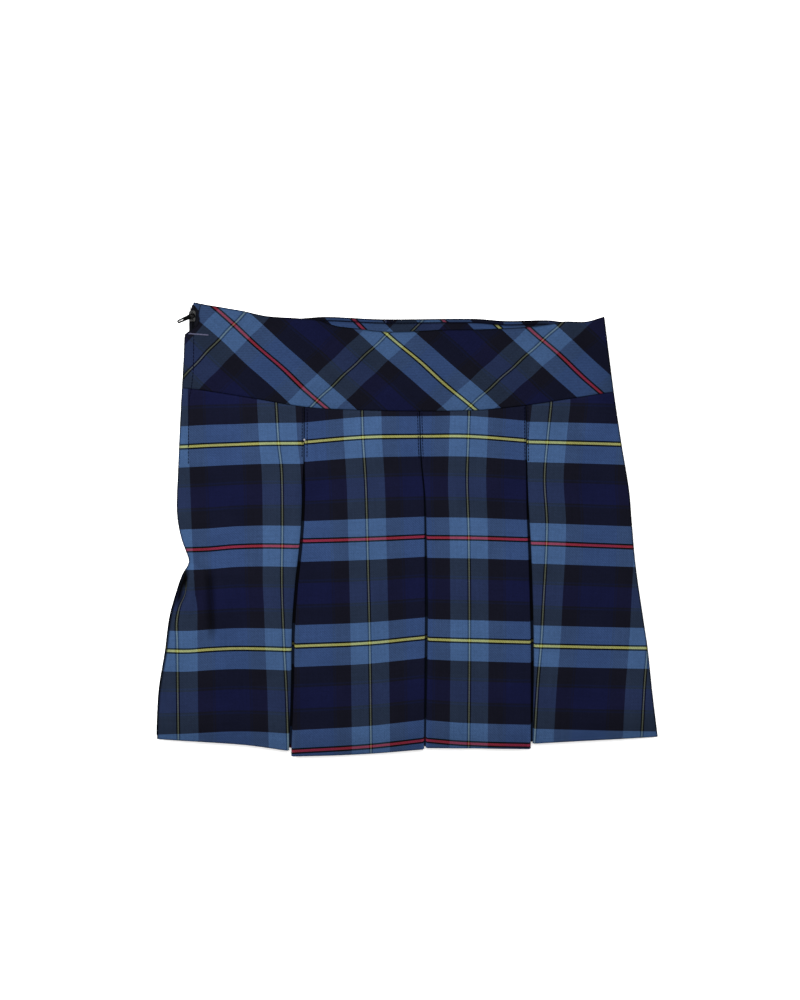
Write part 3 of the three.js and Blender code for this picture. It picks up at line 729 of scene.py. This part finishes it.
def skirt_section(share, spacing):
    """One section of the whole front skirt, from side seam to side seam."""
    section = []
    for index in range(len(PLEATS) + 1):
        panel = panel_section(index, share, spacing[index])
        section += panel if index == 0 else panel[1:]
        if index == len(PLEATS):
            break
        start = panel[-1]
        end = panel_section(index + 1, share, [0])[0]
        section.pop()
        for fold in pleat_section(index, (start["y"] + end["y"]) / 2):
            along = fold["along"]
            fold["y"] = fold_height(index, share, fold["x"], along)
            fold["weave"] = tuple(lerp(a, b, along) for a, b in zip(start["weave"], end["weave"]))
            folded_in = min(along, 1 - along) * 4 * PLEATS[index]["depth"]
            fold["light"] = lerp(1, FOLD_LIGHT, smoothstep(folded_in, *FOLD_LIGHT_RUN))
            section.append(fold)
    for point in section:
        point["z"] = dipped(point["x"], point["y"], point["z"])
    return section


def fold_height(index, share, x, along):
    """How high a fold's point lies, just above the hem of the panel that covers it."""
    line = pleat_lines[index](PLEAT_FOOT)
    past = smoothstep(x, line - HEM_STEP, line + HEM_STEP)
    if min(along, 1 - along) < TURN_SHARE:
        past = round(along)
    hem = lerp(panel_hems[index](x), panel_hems[index + 1](x), past)
    hem += UNDERLAY_LIFT * math.sin(math.pi * along) ** 0.5
    return lerp(yoke_seam(x) - GAP / 2, hem, share)


def front_skirt():
    length = YOKE_SEAM[5]["y"] - PANEL_HEMS[1][1]["y"]
    outer = spaced(PANEL_GRID["wide"], PANEL_GRID["outer"], (True, False))
    inner = spaced(PANEL_GRID["wide"], PANEL_GRID["inner"], (False, False))
    spacing = [outer, inner, inner, [1 - share for share in reversed(outer)]]
    grid = []
    weave = []
    shades = []
    for share in spaced(length, PANEL_GRID["down"]):
        drop = edge_drop(min(share, 1 - share) * length)
        row = []
        section = skirt_section(share, spacing)
        for point in section:
            nx, nz = point["normal"]
            row.append((point["x"] + nx * CLOTH / 2, point["y"], point["z"] + nz * CLOTH / 2 - drop))
        grid.append(row)
        weave.append([point["weave"] for point in section])
        shades.append([point["light"] for point in section])
    grid.insert(0, [(x, y + SEAM_TUCK["in"], z - SEAM_TUCK["down"]) for x, y, z in grid[0]])
    weave.insert(0, [(u, v - SEAM_TUCK["in"]) for u, v in weave[0]])
    shades.insert(0, shades[0])
    return thicken(cloth_mesh("front_skirt_cloth", grid, weave, shades=shades))


def between_lines(lines, x, y):
    """A place among lines that lean across the yoke, in steps from one line to the next."""
    t = (y - YOKE_HEIGHTS["low"]) / (YOKE_HEIGHTS["high"] - YOKE_HEIGHTS["low"])
    at = [lerp(line["low"], line["high"], t) for line in lines]
    i = 0
    while i < len(at) - 2 and x > at[i + 1]:
        i += 1
    return i + (x - at[i]) / (at[i + 1] - at[i])


def yoke_weave(x, y):
    """The place in the weave of a point of the bias cut yoke, whose lines waver a little."""
    x += YOKE_WAVER["by"] * math.sin((x + YOKE_WAVER["slant"] * y) / YOKE_WAVER["run"])
    x += YOKE_WAVER["by"] * math.sin((x - YOKE_WAVER["cross_slant"] * y) / YOKE_WAVER["cross_run"])
    weft = HALF_WEFT * between_lines(YOKE_WEFT_LINES, x, y)
    warp = WARP_REPEAT * between_lines(YOKE_WARP_LINES, x, y)
    return (warp, weft)


def front_yoke():
    columns, rows = grid_steps("front_yoke")
    places = panel_grid(
        lap_edge, right_outline, front_waist, lambda x: yoke_seam(x) + GAP / 2, columns, rows)
    grid = []
    shades = []
    for down, row in zip(rows, places):
        points = []
        lights = []
        from_waist = down * YOKE_HIGH
        from_ends = min(down, 1 - down) * YOKE_HIGH
        for across, (x, y) in zip(columns, row):
            from_lap = across * YOKE_WIDE
            drop = max(edge_drop(from_ends), edge_drop(from_lap))
            points.append((x, y, front_face(x, y) - drop))
            lights.append(YOKE_LIGHT * edge_light(min(from_waist, from_lap, YOKE_WIDE - from_lap)))
        grid.append(points)
        shades.append(lights)
    weave = [[yoke_weave(x, y) for x, y in row] for row in places]
    return thicken(cloth_mesh("front_yoke_cloth", grid, weave, shades=shades))


def flat_cloth(
    name, places, z, weave_of, face_up=True, thickness=SHELL, creases=(), light_of=None,
):
    """A flat piece: its face is at the height z, and its thickness lies behind that."""
    shades = [[light_of(x, y) for x, y in row] for row in places] if light_of else None
    grid = [[(x, y, z + creased(creases, x, y)) for x, y in row] for row in places]
    weave = [[weave_of(x, y) for x, y in row] for row in places]
    piece = cloth_mesh(name, grid, weave, not face_up, shades)
    return thicken(piece, thickness)


def bias_weave(x, y):
    half_root = math.sqrt(0.5)
    return ((x + y) * half_root + BIAS_START[0], (x - y) * half_root + BIAS_START[1])


def straight_weave(x, y):
    return (x + STRAIGHT_START[0], STRAIGHT_START[1] - y)


def back_edge_light(x, y):
    """Little light reaches the back's left edge, where the front lies over it below the pinch."""
    below_pinch = smoothstep(-y, BACK_SHADE["from"], BACK_SHADE["full"])
    by_edge = 1 - smoothstep(x - left_outline(y), BACK_SHADE["dark"], BACK_SHADE["light"])
    return 1 - (1 - FOLD_LIGHT) * below_pinch * by_edge


def back_skirt():
    places = panel_grid(
        left_outline, right_outline, lambda x: yoke_seam(x) - GAP / 2, back_hem,
        *grid_steps("back_skirt"))
    return flat_cloth(
        "back_skirt_cloth", places, 0, straight_weave, face_up=False, creases=BACK_CREASES,
        light_of=back_edge_light)


def back_yoke():
    places = panel_grid(
        back_yoke_left, right_outline, back_waist, lambda x: yoke_seam(x) + GAP / 2,
        *grid_steps("back_yoke"))
    return flat_cloth(
        "back_yoke_cloth", places, 0, bias_weave, face_up=False, creases=BACK_CREASES,
        light_of=lambda x, y: YOKE_LIGHT * edge_light(back_waist(x) - y))


def facing_weave(x, y):
    """The bias check inside the back yoke, shifted where its top edge rolls over."""
    rolled = y > back_waist(x) - FACING_STITCH and FACING_ROLL_SPAN[0] < x < FACING_ROLL_SPAN[1]
    red = FACING_ROLL_RED if rolled else FACING_RED
    down = math.sqrt(0.5) * FACING_DRAWN_IN
    weft = (x - red["x"] + y - red["y"]) * down + HALF_WEFT
    warp = (x - FACING_PALE["x"] - y + FACING_PALE["y"]) * down
    return (warp, weft)


def facing_light(x, y):
    """The facing is dark along its top edge and under the stitches of its rolled strip."""
    from_top = back_waist(x) - y
    by_stitches = smoothstep(abs(from_top - FACING_STITCH), *FACING_STITCH_SHADE)
    by_edge = edge_light(from_top - FACING["below_edge"])
    return YOKE_LIGHT * by_edge * lerp(EDGE_LIGHT, 1, by_stitches)


def back_yoke_facing():
    columns, rows = grid_steps("facing")
    places = panel_grid(
        lambda y: FACING["left"], lambda y: FACING["right"],
        lambda x: back_waist(x) - FACING["below_edge"], lambda x: yoke_seam(x) + FACING["past_seam"],
        columns, sorted(rows + FACING_CLOSE_ROWS))
    return flat_cloth(
        "back_yoke_facing_cloth", places, 2 * LAYER - GAP, facing_weave, thickness=FACING["thick"],
        light_of=facing_light)


def shorts_quarter(name, side, z):
    outer = SHORTS["left"] if side < 0 else SHORTS["right"]
    spread_from = SHORTS["crotch"] + SHORTS["crotch_rise"]

    def inner(y):
        below = clamp((spread_from - y) / (spread_from - SHORTS["hem"]))
        return SHORTS["middle"] + side * (GAP / 2 + SHORTS["leg_gap"] * below ** SHORTS["leg_curve"])

    def hem(x):
        away = clamp(abs(x - SHORTS["middle"]) / SHORTS["hem_run"])
        return SHORTS["hem"] + SHORTS["hem_rise"] * away

    edges = [lambda y: outer, inner]
    if side > 0:
        edges.reverse()
    places = panel_grid(*edges, lambda x: SHORTS["top"], hem, *grid_steps("shorts"))
    return flat_cloth(name, places, z + SHORTS["face"], straight_weave, thickness=SHORTS["thick"])


def front_face(x, y):
    """The height of the front's outer face on the table, creases and all."""
    return front_height(x, y) + relief(x, y) + CLOTH / 2


def pleat_stitches():
    """A row of edge stitching down each side of every pleat, from near the yoke seam."""
    rows = []
    for pleat, ends in enumerate(PLEAT_STITCH_ENDS):
        for side, inset in ((-1, ends["left"]), (1, ends["right"])):
            row = []
            for down in even(ends["from"], ends["to"], PLEAT_STITCH_STEPS):
                x = pleat_lines[pleat](down) + side * inset
                y = min(down, yoke_seam(x) - SEAM_CLEAR)
                row.append((x, y, front_face(x, y) + STITCH["rise"]))
            rows.append(row)
    return rows


def smooth_row(points, steps):
    """A row through corner points that are taken in turn, with even steps between them."""
    row = []
    for a, b in zip(points, points[1:]):
        for i in range(steps):
            row.append(tuple(lerp(p, q, i / steps) for p, q in zip(a, b)))
    return row + [tuple(points[-1])]


def lap_stitches():
    places = smooth_row([(spot["x"], spot["y"]) for spot in LAP_STITCHES], LAP_STITCH_STEPS)
    return [[(x, y, front_face(x, y) + STITCH["rise"]) for x, y in places]]


def facing_stitches():
    top = 2 * LAYER - GAP + STITCH["rise"]
    xs = even(*FACING_STITCH_ENDS, FACING_STITCH_STEPS)
    return [[(x, back_waist(x) - FACING_STITCH, top) for x in xs]]


def tape_stitches():
    """The rows that hold the zip's tapes to the yokes, beside the coil."""
    low = LAYER + TAPE_THICK + STITCH["rise"]
    ys = range(TAPE_STITCHES["low"], TAPE_STITCHES["high"], TAPE_STITCHES["step"])
    beside = TAPE_STITCHES["x"]
    return [[(lerp(ZIP_HIDDEN_X, beside, smoothstep(y, *ZIP_BEND)), y, low) for y in ys]]


def stitch_rows():
    return pleat_stitches() + lap_stitches() + facing_stitches() + tape_stitches()


def bar_tack_rows():
    """A pale bar of close stitches across the lap at the foot of the zip's opening."""
    rows = []
    for line in BAR_TACK_LINES:
        xs = even(BAR_TACK["left"], BAR_TACK["right"], BAR_TACK["steps"])
        ys = even(BAR_TACK["left_y"] + line, BAR_TACK["right_y"] + line, BAR_TACK["steps"])
        rows.append([(x, y, front_face(x, y) + TACK_STITCH["rise"]) for x, y in zip(xs, ys)])
    return rows


def knot_rows():
    """The end of a thread that stands out of the first pleat's stitching."""
    x, y = THREAD_END
    z = front_face(x, y)
    return [[(x + step["x"], y + step["y"], z + step["z"]) for step in THREAD_END_STEPS]]


def zip_middle(y):
    return lerp(ZIP_HIDDEN_X, ZIP_X, smoothstep(y, *ZIP_BEND))


def strand_offset(y):
    by_slider = smoothstep(y, SLIDER_Y - STRANDS["below"], SLIDER_Y + STRANDS["above"])
    return lerp(STRANDS["closed"], STRANDS["open"], by_slider)


def coil_row(side):
    ys = even(ZIP_FOOT, ZIP_HEAD, COIL_STEPS)
    return [(zip_middle(y) + side * strand_offset(y), y, COIL_Z) for y in ys]


def zip_tape_left(side, y):
    """Where a tape's left edge lies: beside the coil, or along the back yoke's edge."""
    if side == "front":
        return zip_middle(y) + strand_offset(y) + TAPE_CLEAR
    edge = lerp(BACK_TAPE["low"], BACK_TAPE["high"], smoothstep(y, *BACK_TAPE["bend"]))
    return edge + BACK_TAPE["slant"] * smoothstep(y, *BACK_TAPE["top"])


def zip_tape(side):
    """One of the zip's tapes, woven along its length, as the flat piece in the part."""
    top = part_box(f"zip_tape_{side}")[1][2] / MM
    tape = ZIP_TAPES[side]

    def head(x):
        share = smoothstep(x, tape["head_from"], tape["right"] - 1)
        return lerp(tape["head_left"], tape["head_right"], share)

    places = panel_grid(
        lambda y: zip_tape_left(side, y), lambda y: tape["right"], head,
        lambda x: ZIP_FOOT - TAPE_PAST_FOOT, *grid_steps("zip_tape"))
    return flat_cloth(
        f"zip_tape_{side}_cloth", places, top, lambda x, y: (x, y), thickness=TAPE_SHELL)


def thread_bead(long, wide, tall, sides=6):
    """A short round ended length of thread along Z, a few dozen faces."""
    rings = [(-0.5, 0.35), (-0.4, 0.8), (-0.15, 1), (0.15, 1), (0.4, 0.8), (0.5, 0.35)]
    verts = []
    for share, size in rings:
        for i in range(sides):
            turn = 2 * math.pi * i / sides
            x = wide / 2 * size * math.cos(turn)
            y = tall / 2 * size * math.sin(turn)
            verts.append((x * MM, y * MM, share * long * MM))
    faces = []
    for ring in range(len(rings) - 1):
        for i in range(sides):
            a = ring * sides + i
            b = ring * sides + (i + 1) % sides
            faces.append((a, b, b + sides, a + sides))
    faces.append(tuple(reversed(range(sides))))
    faces.append(tuple((len(rings) - 1) * sides + i for i in range(sides)))
    mesh = bpy.data.meshes.new("bead")
    mesh.from_pydata(verts, [], faces)
    mesh.shade_smooth()
    return mesh


def bead_tree():
    """Geometry nodes that lay beads along every line of a mesh at an even pitch."""
    tree = bpy.data.node_groups.new("beads along lines", "GeometryNodeTree")
    face = tree.interface
    face.new_socket(name="Lines", in_out="INPUT", socket_type="NodeSocketGeometry")
    face.new_socket(name="Bead", in_out="INPUT", socket_type="NodeSocketObject")
    face.new_socket(name="Pitch", in_out="INPUT", socket_type="NodeSocketFloat")
    face.new_socket(name="Unevenness", in_out="INPUT", socket_type="NodeSocketFloat")
    face.new_socket(name="Material", in_out="INPUT", socket_type="NodeSocketMaterial")
    face.new_socket(name="Beads", in_out="OUTPUT", socket_type="NodeSocketGeometry")
    web = NodeWeb(tree)
    entry = web.add("NodeGroupInput").outputs
    curve = web.add("GeometryNodeMeshToCurve")
    web.put(curve.inputs["Mesh"], entry["Lines"])
    places = web.add("GeometryNodeCurveToPoints", mode="LENGTH")
    web.put(places.inputs["Curve"], curve.outputs["Curve"])
    web.put(places.inputs["Length"], entry["Pitch"])
    bead = web.add("GeometryNodeObjectInfo")
    web.put(bead.inputs["Object"], entry["Bead"])
    uneven = web.add("FunctionNodeRandomValue", data_type="FLOAT")
    uneven.inputs["Seed"].default_value = 7
    web.put(uneven.inputs[2], web.math("SUBTRACT", 1.0, entry["Unevenness"]))
    web.put(uneven.inputs[3], web.math("ADD", 1.0, entry["Unevenness"]))
    laid = web.add("GeometryNodeInstanceOnPoints")
    web.put(laid.inputs["Points"], places.outputs["Points"])
    web.put(laid.inputs["Instance"], bead.outputs["Geometry"])
    web.put(laid.inputs["Rotation"], places.outputs["Rotation"])
    web.put(laid.inputs["Scale"], uneven.outputs[1])
    real = web.add("GeometryNodeRealizeInstances")
    web.put(real.inputs["Geometry"], laid.outputs["Instances"])
    coloured = web.add("GeometryNodeSetMaterial")
    web.put(coloured.inputs["Geometry"], real.outputs["Geometry"])
    web.put(coloured.inputs["Material"], entry["Material"])
    end = web.add("NodeGroupOutput")
    web.put(end.inputs["Beads"], coloured.outputs["Geometry"])
    return tree


def lines_mesh(rows):
    verts = []
    edges = []
    for row in rows:
        first = len(verts)
        verts += [tuple(value * MM for value in point) for point in row]
        edges += [(first + i, first + i + 1) for i in range(len(row) - 1)]
    mesh = bpy.data.meshes.new("lines")
    mesh.from_pydata(verts, edges, [])
    return mesh


def thread_object(name, rows, bead):
    """Beads of thread or coil along rows of points, made by the nodes and kept as a plain mesh."""
    pattern = bpy.data.objects.new("bead", thread_bead(bead["long"], bead["wide"], bead["tall"]))
    carrier = bpy.data.objects.new("lines", lines_mesh(rows))
    for piece in (pattern, carrier):
        bpy.context.collection.objects.link(piece)
    tree = bead_tree()
    nodes = carrier.modifiers.new("beads", "NODES")
    nodes.node_group = tree
    settings = {
        "Bead": pattern,
        "Pitch": bead["pitch"] * MM,
        "Unevenness": bead["uneven"],
        "Material": bpy.data.materials["navy thread"],
    }
    for item in tree.interface.items_tree:
        if item.name in settings:
            nodes[item.identifier] = settings[item.name]
    graph = bpy.context.evaluated_depsgraph_get()
    mesh = bpy.data.meshes.new_from_object(carrier.evaluated_get(graph))
    mesh.name = name
    for piece in (carrier, pattern):
        bpy.data.objects.remove(piece)
    piece = bpy.data.objects.new(name, mesh)
    bpy.context.collection.objects.link(piece)
    return piece


class NodeWeb:
    """Adds nodes to one tree and links them as they are made."""

    def __init__(self, tree):
        self.tree = tree

    def add(self, kind, **settings):
        node = self.tree.nodes.new(kind)
        for name, value in settings.items():
            setattr(node, name, value)
        return node

    def put(self, socket, value):
        if isinstance(value, bpy.types.NodeSocket):
            self.tree.links.new(value, socket)
        elif value is not None:
            socket.default_value = value

    def math(self, operation, a, b=None, c=None):
        node = self.add("ShaderNodeMath", operation=operation)
        for socket, value in zip(node.inputs, (a, b, c)):
            self.put(socket, value)
        return node.outputs[0]

    def vector(self, operation, a, b=None):
        node = self.add("ShaderNodeVectorMath", operation=operation)
        self.put(node.inputs[0], a)
        self.put(node.inputs[1], b)
        return node.outputs[0]

    def scale(self, vector, factor):
        node = self.add("ShaderNodeVectorMath", operation="SCALE")
        self.put(node.inputs[0], vector)
        self.put(node.inputs["Scale"], factor)
        return node.outputs[0]

    def noise(self, scale, detail, place):
        node = self.add("ShaderNodeTexNoise")
        node.inputs["Scale"].default_value = scale
        node.inputs["Detail"].default_value = detail
        self.put(node.inputs["Vector"], place)
        return node.outputs["Fac"]

    def varied(self, scale, detail, by, base):
        """A value over a base that varies by an amount from place to place on the object."""
        place = self.add("ShaderNodeTexCoord").outputs["Object"]
        return self.math("MULTIPLY_ADD", self.noise(scale, detail, place), by, base)


def new_material(name, roughness, specular):
    material = bpy.data.materials.new(name)
    material.use_nodes = True
    shader = material.node_tree.nodes["Principled BSDF"]
    shader.inputs["Roughness"].default_value = roughness
    shader.inputs["Specular IOR Level"].default_value = specular
    return material, NodeWeb(material.node_tree), shader


def weave_place(web):
    """The weave's own coordinates, whole and as its two parts."""
    uv = web.add("ShaderNodeUVMap", uv_map="weave").outputs[0]
    parts = web.add("ShaderNodeSeparateXYZ")
    web.put(parts.inputs[0], uv)
    return uv, parts.outputs[0], parts.outputs[1]


def raise_threads(web, shader, height, deep):
    """Lets the threads of a weave stand up by a depth in millimetres."""
    bump = web.add("ShaderNodeBump")
    bump.inputs["Strength"].default_value = BUMP_STRENGTH
    bump.inputs["Distance"].default_value = deep * MM
    web.put(bump.inputs["Height"], height)
    web.put(shader.inputs["Normal"], bump.outputs[0])


def stripe_ramp(web, place, half, yarns):
    """The colour that a repeat of stripes has at a place in millimetres."""
    stripes = half + half[::-1]
    repeat = sum(width for _, width in stripes)
    share = web.math("FRACT", web.math("DIVIDE", place, repeat))
    ramp = web.add("ShaderNodeValToRGB")
    ramp.color_ramp.interpolation = "CONSTANT"
    start = 0
    for i, (yarn, width) in enumerate(stripes):
        elements = ramp.color_ramp.elements
        element = elements[i] if i < 1 else elements.new(start / repeat)
        if i == 0:
            elements.remove(elements[1])
        element.position = start / repeat
        element.color = tuple(value / 255 for value in yarns[yarn]) + (1,)
        start += width
    web.put(ramp.inputs[0], share)
    return ramp.outputs[0]


def twill(web, u, v, pitch):
    """A two and two twill: 1 where the weft lies on top, and the height of its threads."""
    column = web.math("DIVIDE", u, pitch)
    row = web.math("DIVIDE", v, pitch)
    step = web.math("SUBTRACT", web.math("FLOOR", column), web.math("FLOOR", row))
    weft_up = web.math("LESS_THAN", web.math("FRACT", web.math("MULTIPLY", step, 0.25)), 0.5)
    over_weft = web.math("SINE", web.math("MULTIPLY", web.math("FRACT", row), math.pi))
    over_warp = web.math("SINE", web.math("MULTIPLY", web.math("FRACT", column), math.pi))
    difference = web.math("SUBTRACT", over_weft, over_warp)
    height = web.math("MULTIPLY_ADD", difference, weft_up, over_warp)
    return weft_up, height


def plaid_material():
    material, web, shader = new_material("plaid twill", roughness=0.9, specular=0.03)
    uv, u, v = weave_place(web)
    weft = stripe_ramp(web, v, WEFT_HALF, WEFT_YARNS)
    warp = stripe_ramp(web, u, WARP_HALF, WARP_YARNS)
    weft_up, height = twill(web, u, v, TWILL_PITCH)
    shared = web.vector("MULTIPLY", web.vector("MULTIPLY", weft, warp), YARNS_SHARE)
    woven = web.vector("SUBTRACT", web.vector("ADD", weft, warp), shared)
    lean = web.math("MULTIPLY_ADD", weft_up, TWILL_LEAD, -TWILL_LEAD / 2)
    shown = web.vector("ADD", woven, web.scale(web.vector("SUBTRACT", weft, warp), lean))
    broad = web.varied(scale=35, detail=3, by=0.14, base=0.665)
    along, across = STREAKS["along"], STREAKS["across"]
    along_weft = web.noise(1, 2, web.vector("MULTIPLY", uv, (along, across, 1)))
    along_warp = web.noise(1, 2, web.vector("MULTIPLY", uv, (across, along, 1)))
    both = web.math("ADD", along_weft, along_warp)
    streaks = web.math("MULTIPLY_ADD", both, STREAKS["by"], STREAKS["base"])
    fine = web.varied(scale=900, detail=2, by=0.24, base=0.88)
    tone = web.math("MULTIPLY", web.math("MULTIPLY", broad, streaks), fine)
    gamma = web.add("ShaderNodeGamma")
    gamma.inputs["Gamma"].default_value = GAMMA
    web.put(gamma.inputs["Color"], web.scale(shown, tone))
    light = web.add("ShaderNodeAttribute", attribute_name="light").outputs["Fac"]
    web.put(shader.inputs["Base Color"], web.scale(gamma.outputs[0], light))
    raise_threads(web, shader, height, TWILL_DEEP)
    return material


def thread_cloth(name, colour, pitch):
    """A plain coloured twill or tape."""
    material, web, shader = new_material(name, roughness=0.9, specular=0.04)
    _, u, v = weave_place(web)
    weft_up, height = twill(web, u, v, pitch)
    tone = web.varied(scale=120, detail=3, by=0.3, base=0.8)
    tone = web.math("ADD", tone, web.math("MULTIPLY", weft_up, 0.1))
    web.put(shader.inputs["Base Color"], web.scale(colour_value(web, colour), tone))
    raise_threads(web, shader, height, PLAIN_DEEP)
    return material


def colour_value(web, colour):
    node = web.add("ShaderNodeRGB")
    node.outputs[0].default_value = linear(colour) + (1,)
    return node.outputs[0]


def linear(colour):
    """Display values from 0 to 255 as linear ones."""
    return tuple((value / 255) ** GAMMA for value in colour)


def thread_material(name, colour):
    material, web, shader = new_material(name, roughness=0.9, specular=0.03)
    tone = web.varied(scale=1500, detail=1, by=0.5, base=0.75)
    web.put(shader.inputs["Base Color"], web.scale(colour_value(web, colour), tone))
    return material


def enamel_material():
    material, web, shader = new_material("black enamel", roughness=0.42, specular=0.12)
    worn = web.varied(scale=700, detail=3, by=0.5, base=0.7)
    web.put(shader.inputs["Base Color"], web.scale(colour_value(web, (9, 9, 11)), worn))
    web.put(shader.inputs["Roughness"], web.varied(scale=400, detail=2, by=0.25, base=0.25))
    return material


def dress(piece, material, nodes, body="skort"):
    """Gives a finished piece its material and says which solid it stands for."""
    piece.data.materials.clear()
    piece.data.materials.append(material)
    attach(piece, body)
    if nodes:
        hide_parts(*nodes)
    return piece


def camera():
    """Straight above the garment, a little off its middle, as the photograph was taken."""
    data = bpy.data.cameras.new("above")
    data.lens = data.sensor_width * CAMERA["away"] / CAMERA["picture"]
    data.clip_end = CAMERA["clip"]
    eye = bpy.data.objects.new("above", data)
    eye.location = (CAMERA["x"], CAMERA["y"], CAMERA["away"] + CAMERA["garment"])
    bpy.context.collection.objects.link(eye)
    bpy.context.scene.camera = eye


def soft_light(lamp):
    data = bpy.data.lights.new(lamp["name"], "AREA")
    data.shape = "SQUARE"
    data.size = lamp["size"]
    data.energy = lamp["power"]
    light = bpy.data.objects.new(lamp["name"], data)
    light.location = lamp["place"]
    towards = Vector(lamp["target"]) - Vector(lamp["place"])
    light.rotation_euler = towards.to_track_quat("-Z", "Y").to_euler()
    bpy.context.collection.objects.link(light)


def studio():
    """A plain pale floor, a bright even sky and three soft lamps."""
    material, web, shader = new_material("pale floor", roughness=0.9, specular=0.12)
    web.put(shader.inputs["Base Color"], web.varied(scale=8, detail=2, by=0.02, base=0.89))
    shader.inputs["Emission Color"].default_value = (1, 1, 1, 1)
    shader.inputs["Emission Strength"].default_value = FLOOR["glow"]
    mesh = bpy.data.meshes.new("floor")
    half = FLOOR["half"]
    corners = [(x * half, y * half, FLOOR["z"]) for x, y in ((-1, -1), (1, -1), (1, 1), (-1, 1))]
    mesh.from_pydata(corners, [], [(0, 1, 2, 3)])
    mesh.materials.append(material)
    floor = bpy.data.objects.new("floor", mesh)
    bpy.context.collection.objects.link(floor)
    world = bpy.data.worlds.new("studio")
    world.use_nodes = True
    sky = world.node_tree.nodes["Background"]
    sky.inputs["Color"].default_value = (1, 1, 1, 1)
    sky.inputs["Strength"].default_value = SKY_LIGHT
    bpy.context.scene.world = world
    for lamp in LAMPS:
        soft_light(lamp)
    view = bpy.context.scene.view_settings
    view.view_transform = "Standard"
    view.look = "None"


plaid = plaid_material()
plain = thread_cloth("plain twill", (26, 28, 52), TWILL_PITCH)
tape_cloth = thread_cloth("zip tape", (17, 18, 22), TAPE_PITCH)
dark_thread = thread_material("navy thread", (9, 10, 24))
pale_thread = thread_material("pale thread", (74, 74, 92))
white_thread = thread_material("white thread", (150, 146, 150))
coil_plastic = thread_material("black coil", (20, 21, 24))
enamel = enamel_material()

skirt = dress(front_skirt(), plaid, ["front_skirt"])
yoke = dress(front_yoke(), plaid, ["front_yoke"])
skirt_back = dress(back_skirt(), plaid, ["back_skirt"])
yoke_back = dress(back_yoke(), plaid, ["back_yoke"])
facing = dress(back_yoke_facing(), plaid, ["back_yoke_facing"])
for layer, height in (("front", 2 * LAYER), ("back", LAYER)):
    for side, sign in (("left", -1), ("right", 1)):
        piece = shorts_quarter(f"shorts_{layer}_{side}_cloth", sign, height)
        dress(piece, plain, [f"shorts_{layer}_{side}"])

dress(thread_object("skort_stitches", stitch_rows(), STITCH), dark_thread, [])
dress(thread_object("bar_tack", bar_tack_rows(), TACK_STITCH), pale_thread, [])
dress(thread_object("thread_end", knot_rows(), KNOT_STITCH), white_thread, [])
for side, sign in (("front", 1), ("back", -1)):
    teeth = thread_object(f"zip_teeth_{side}", [coil_row(sign)], TOOTH)
    dress(teeth, coil_plastic, [f"zip_coil_{side}"])
for side in ("front", "back"):
    dress(zip_tape(side), tape_cloth, [f"zip_tape_{side}"])
for node in ("zip_slider", "zip_pull_tab"):
    bpy.data.objects[node].data.materials.clear()
    bpy.data.objects[node].data.materials.append(enamel)

camera()
studio()
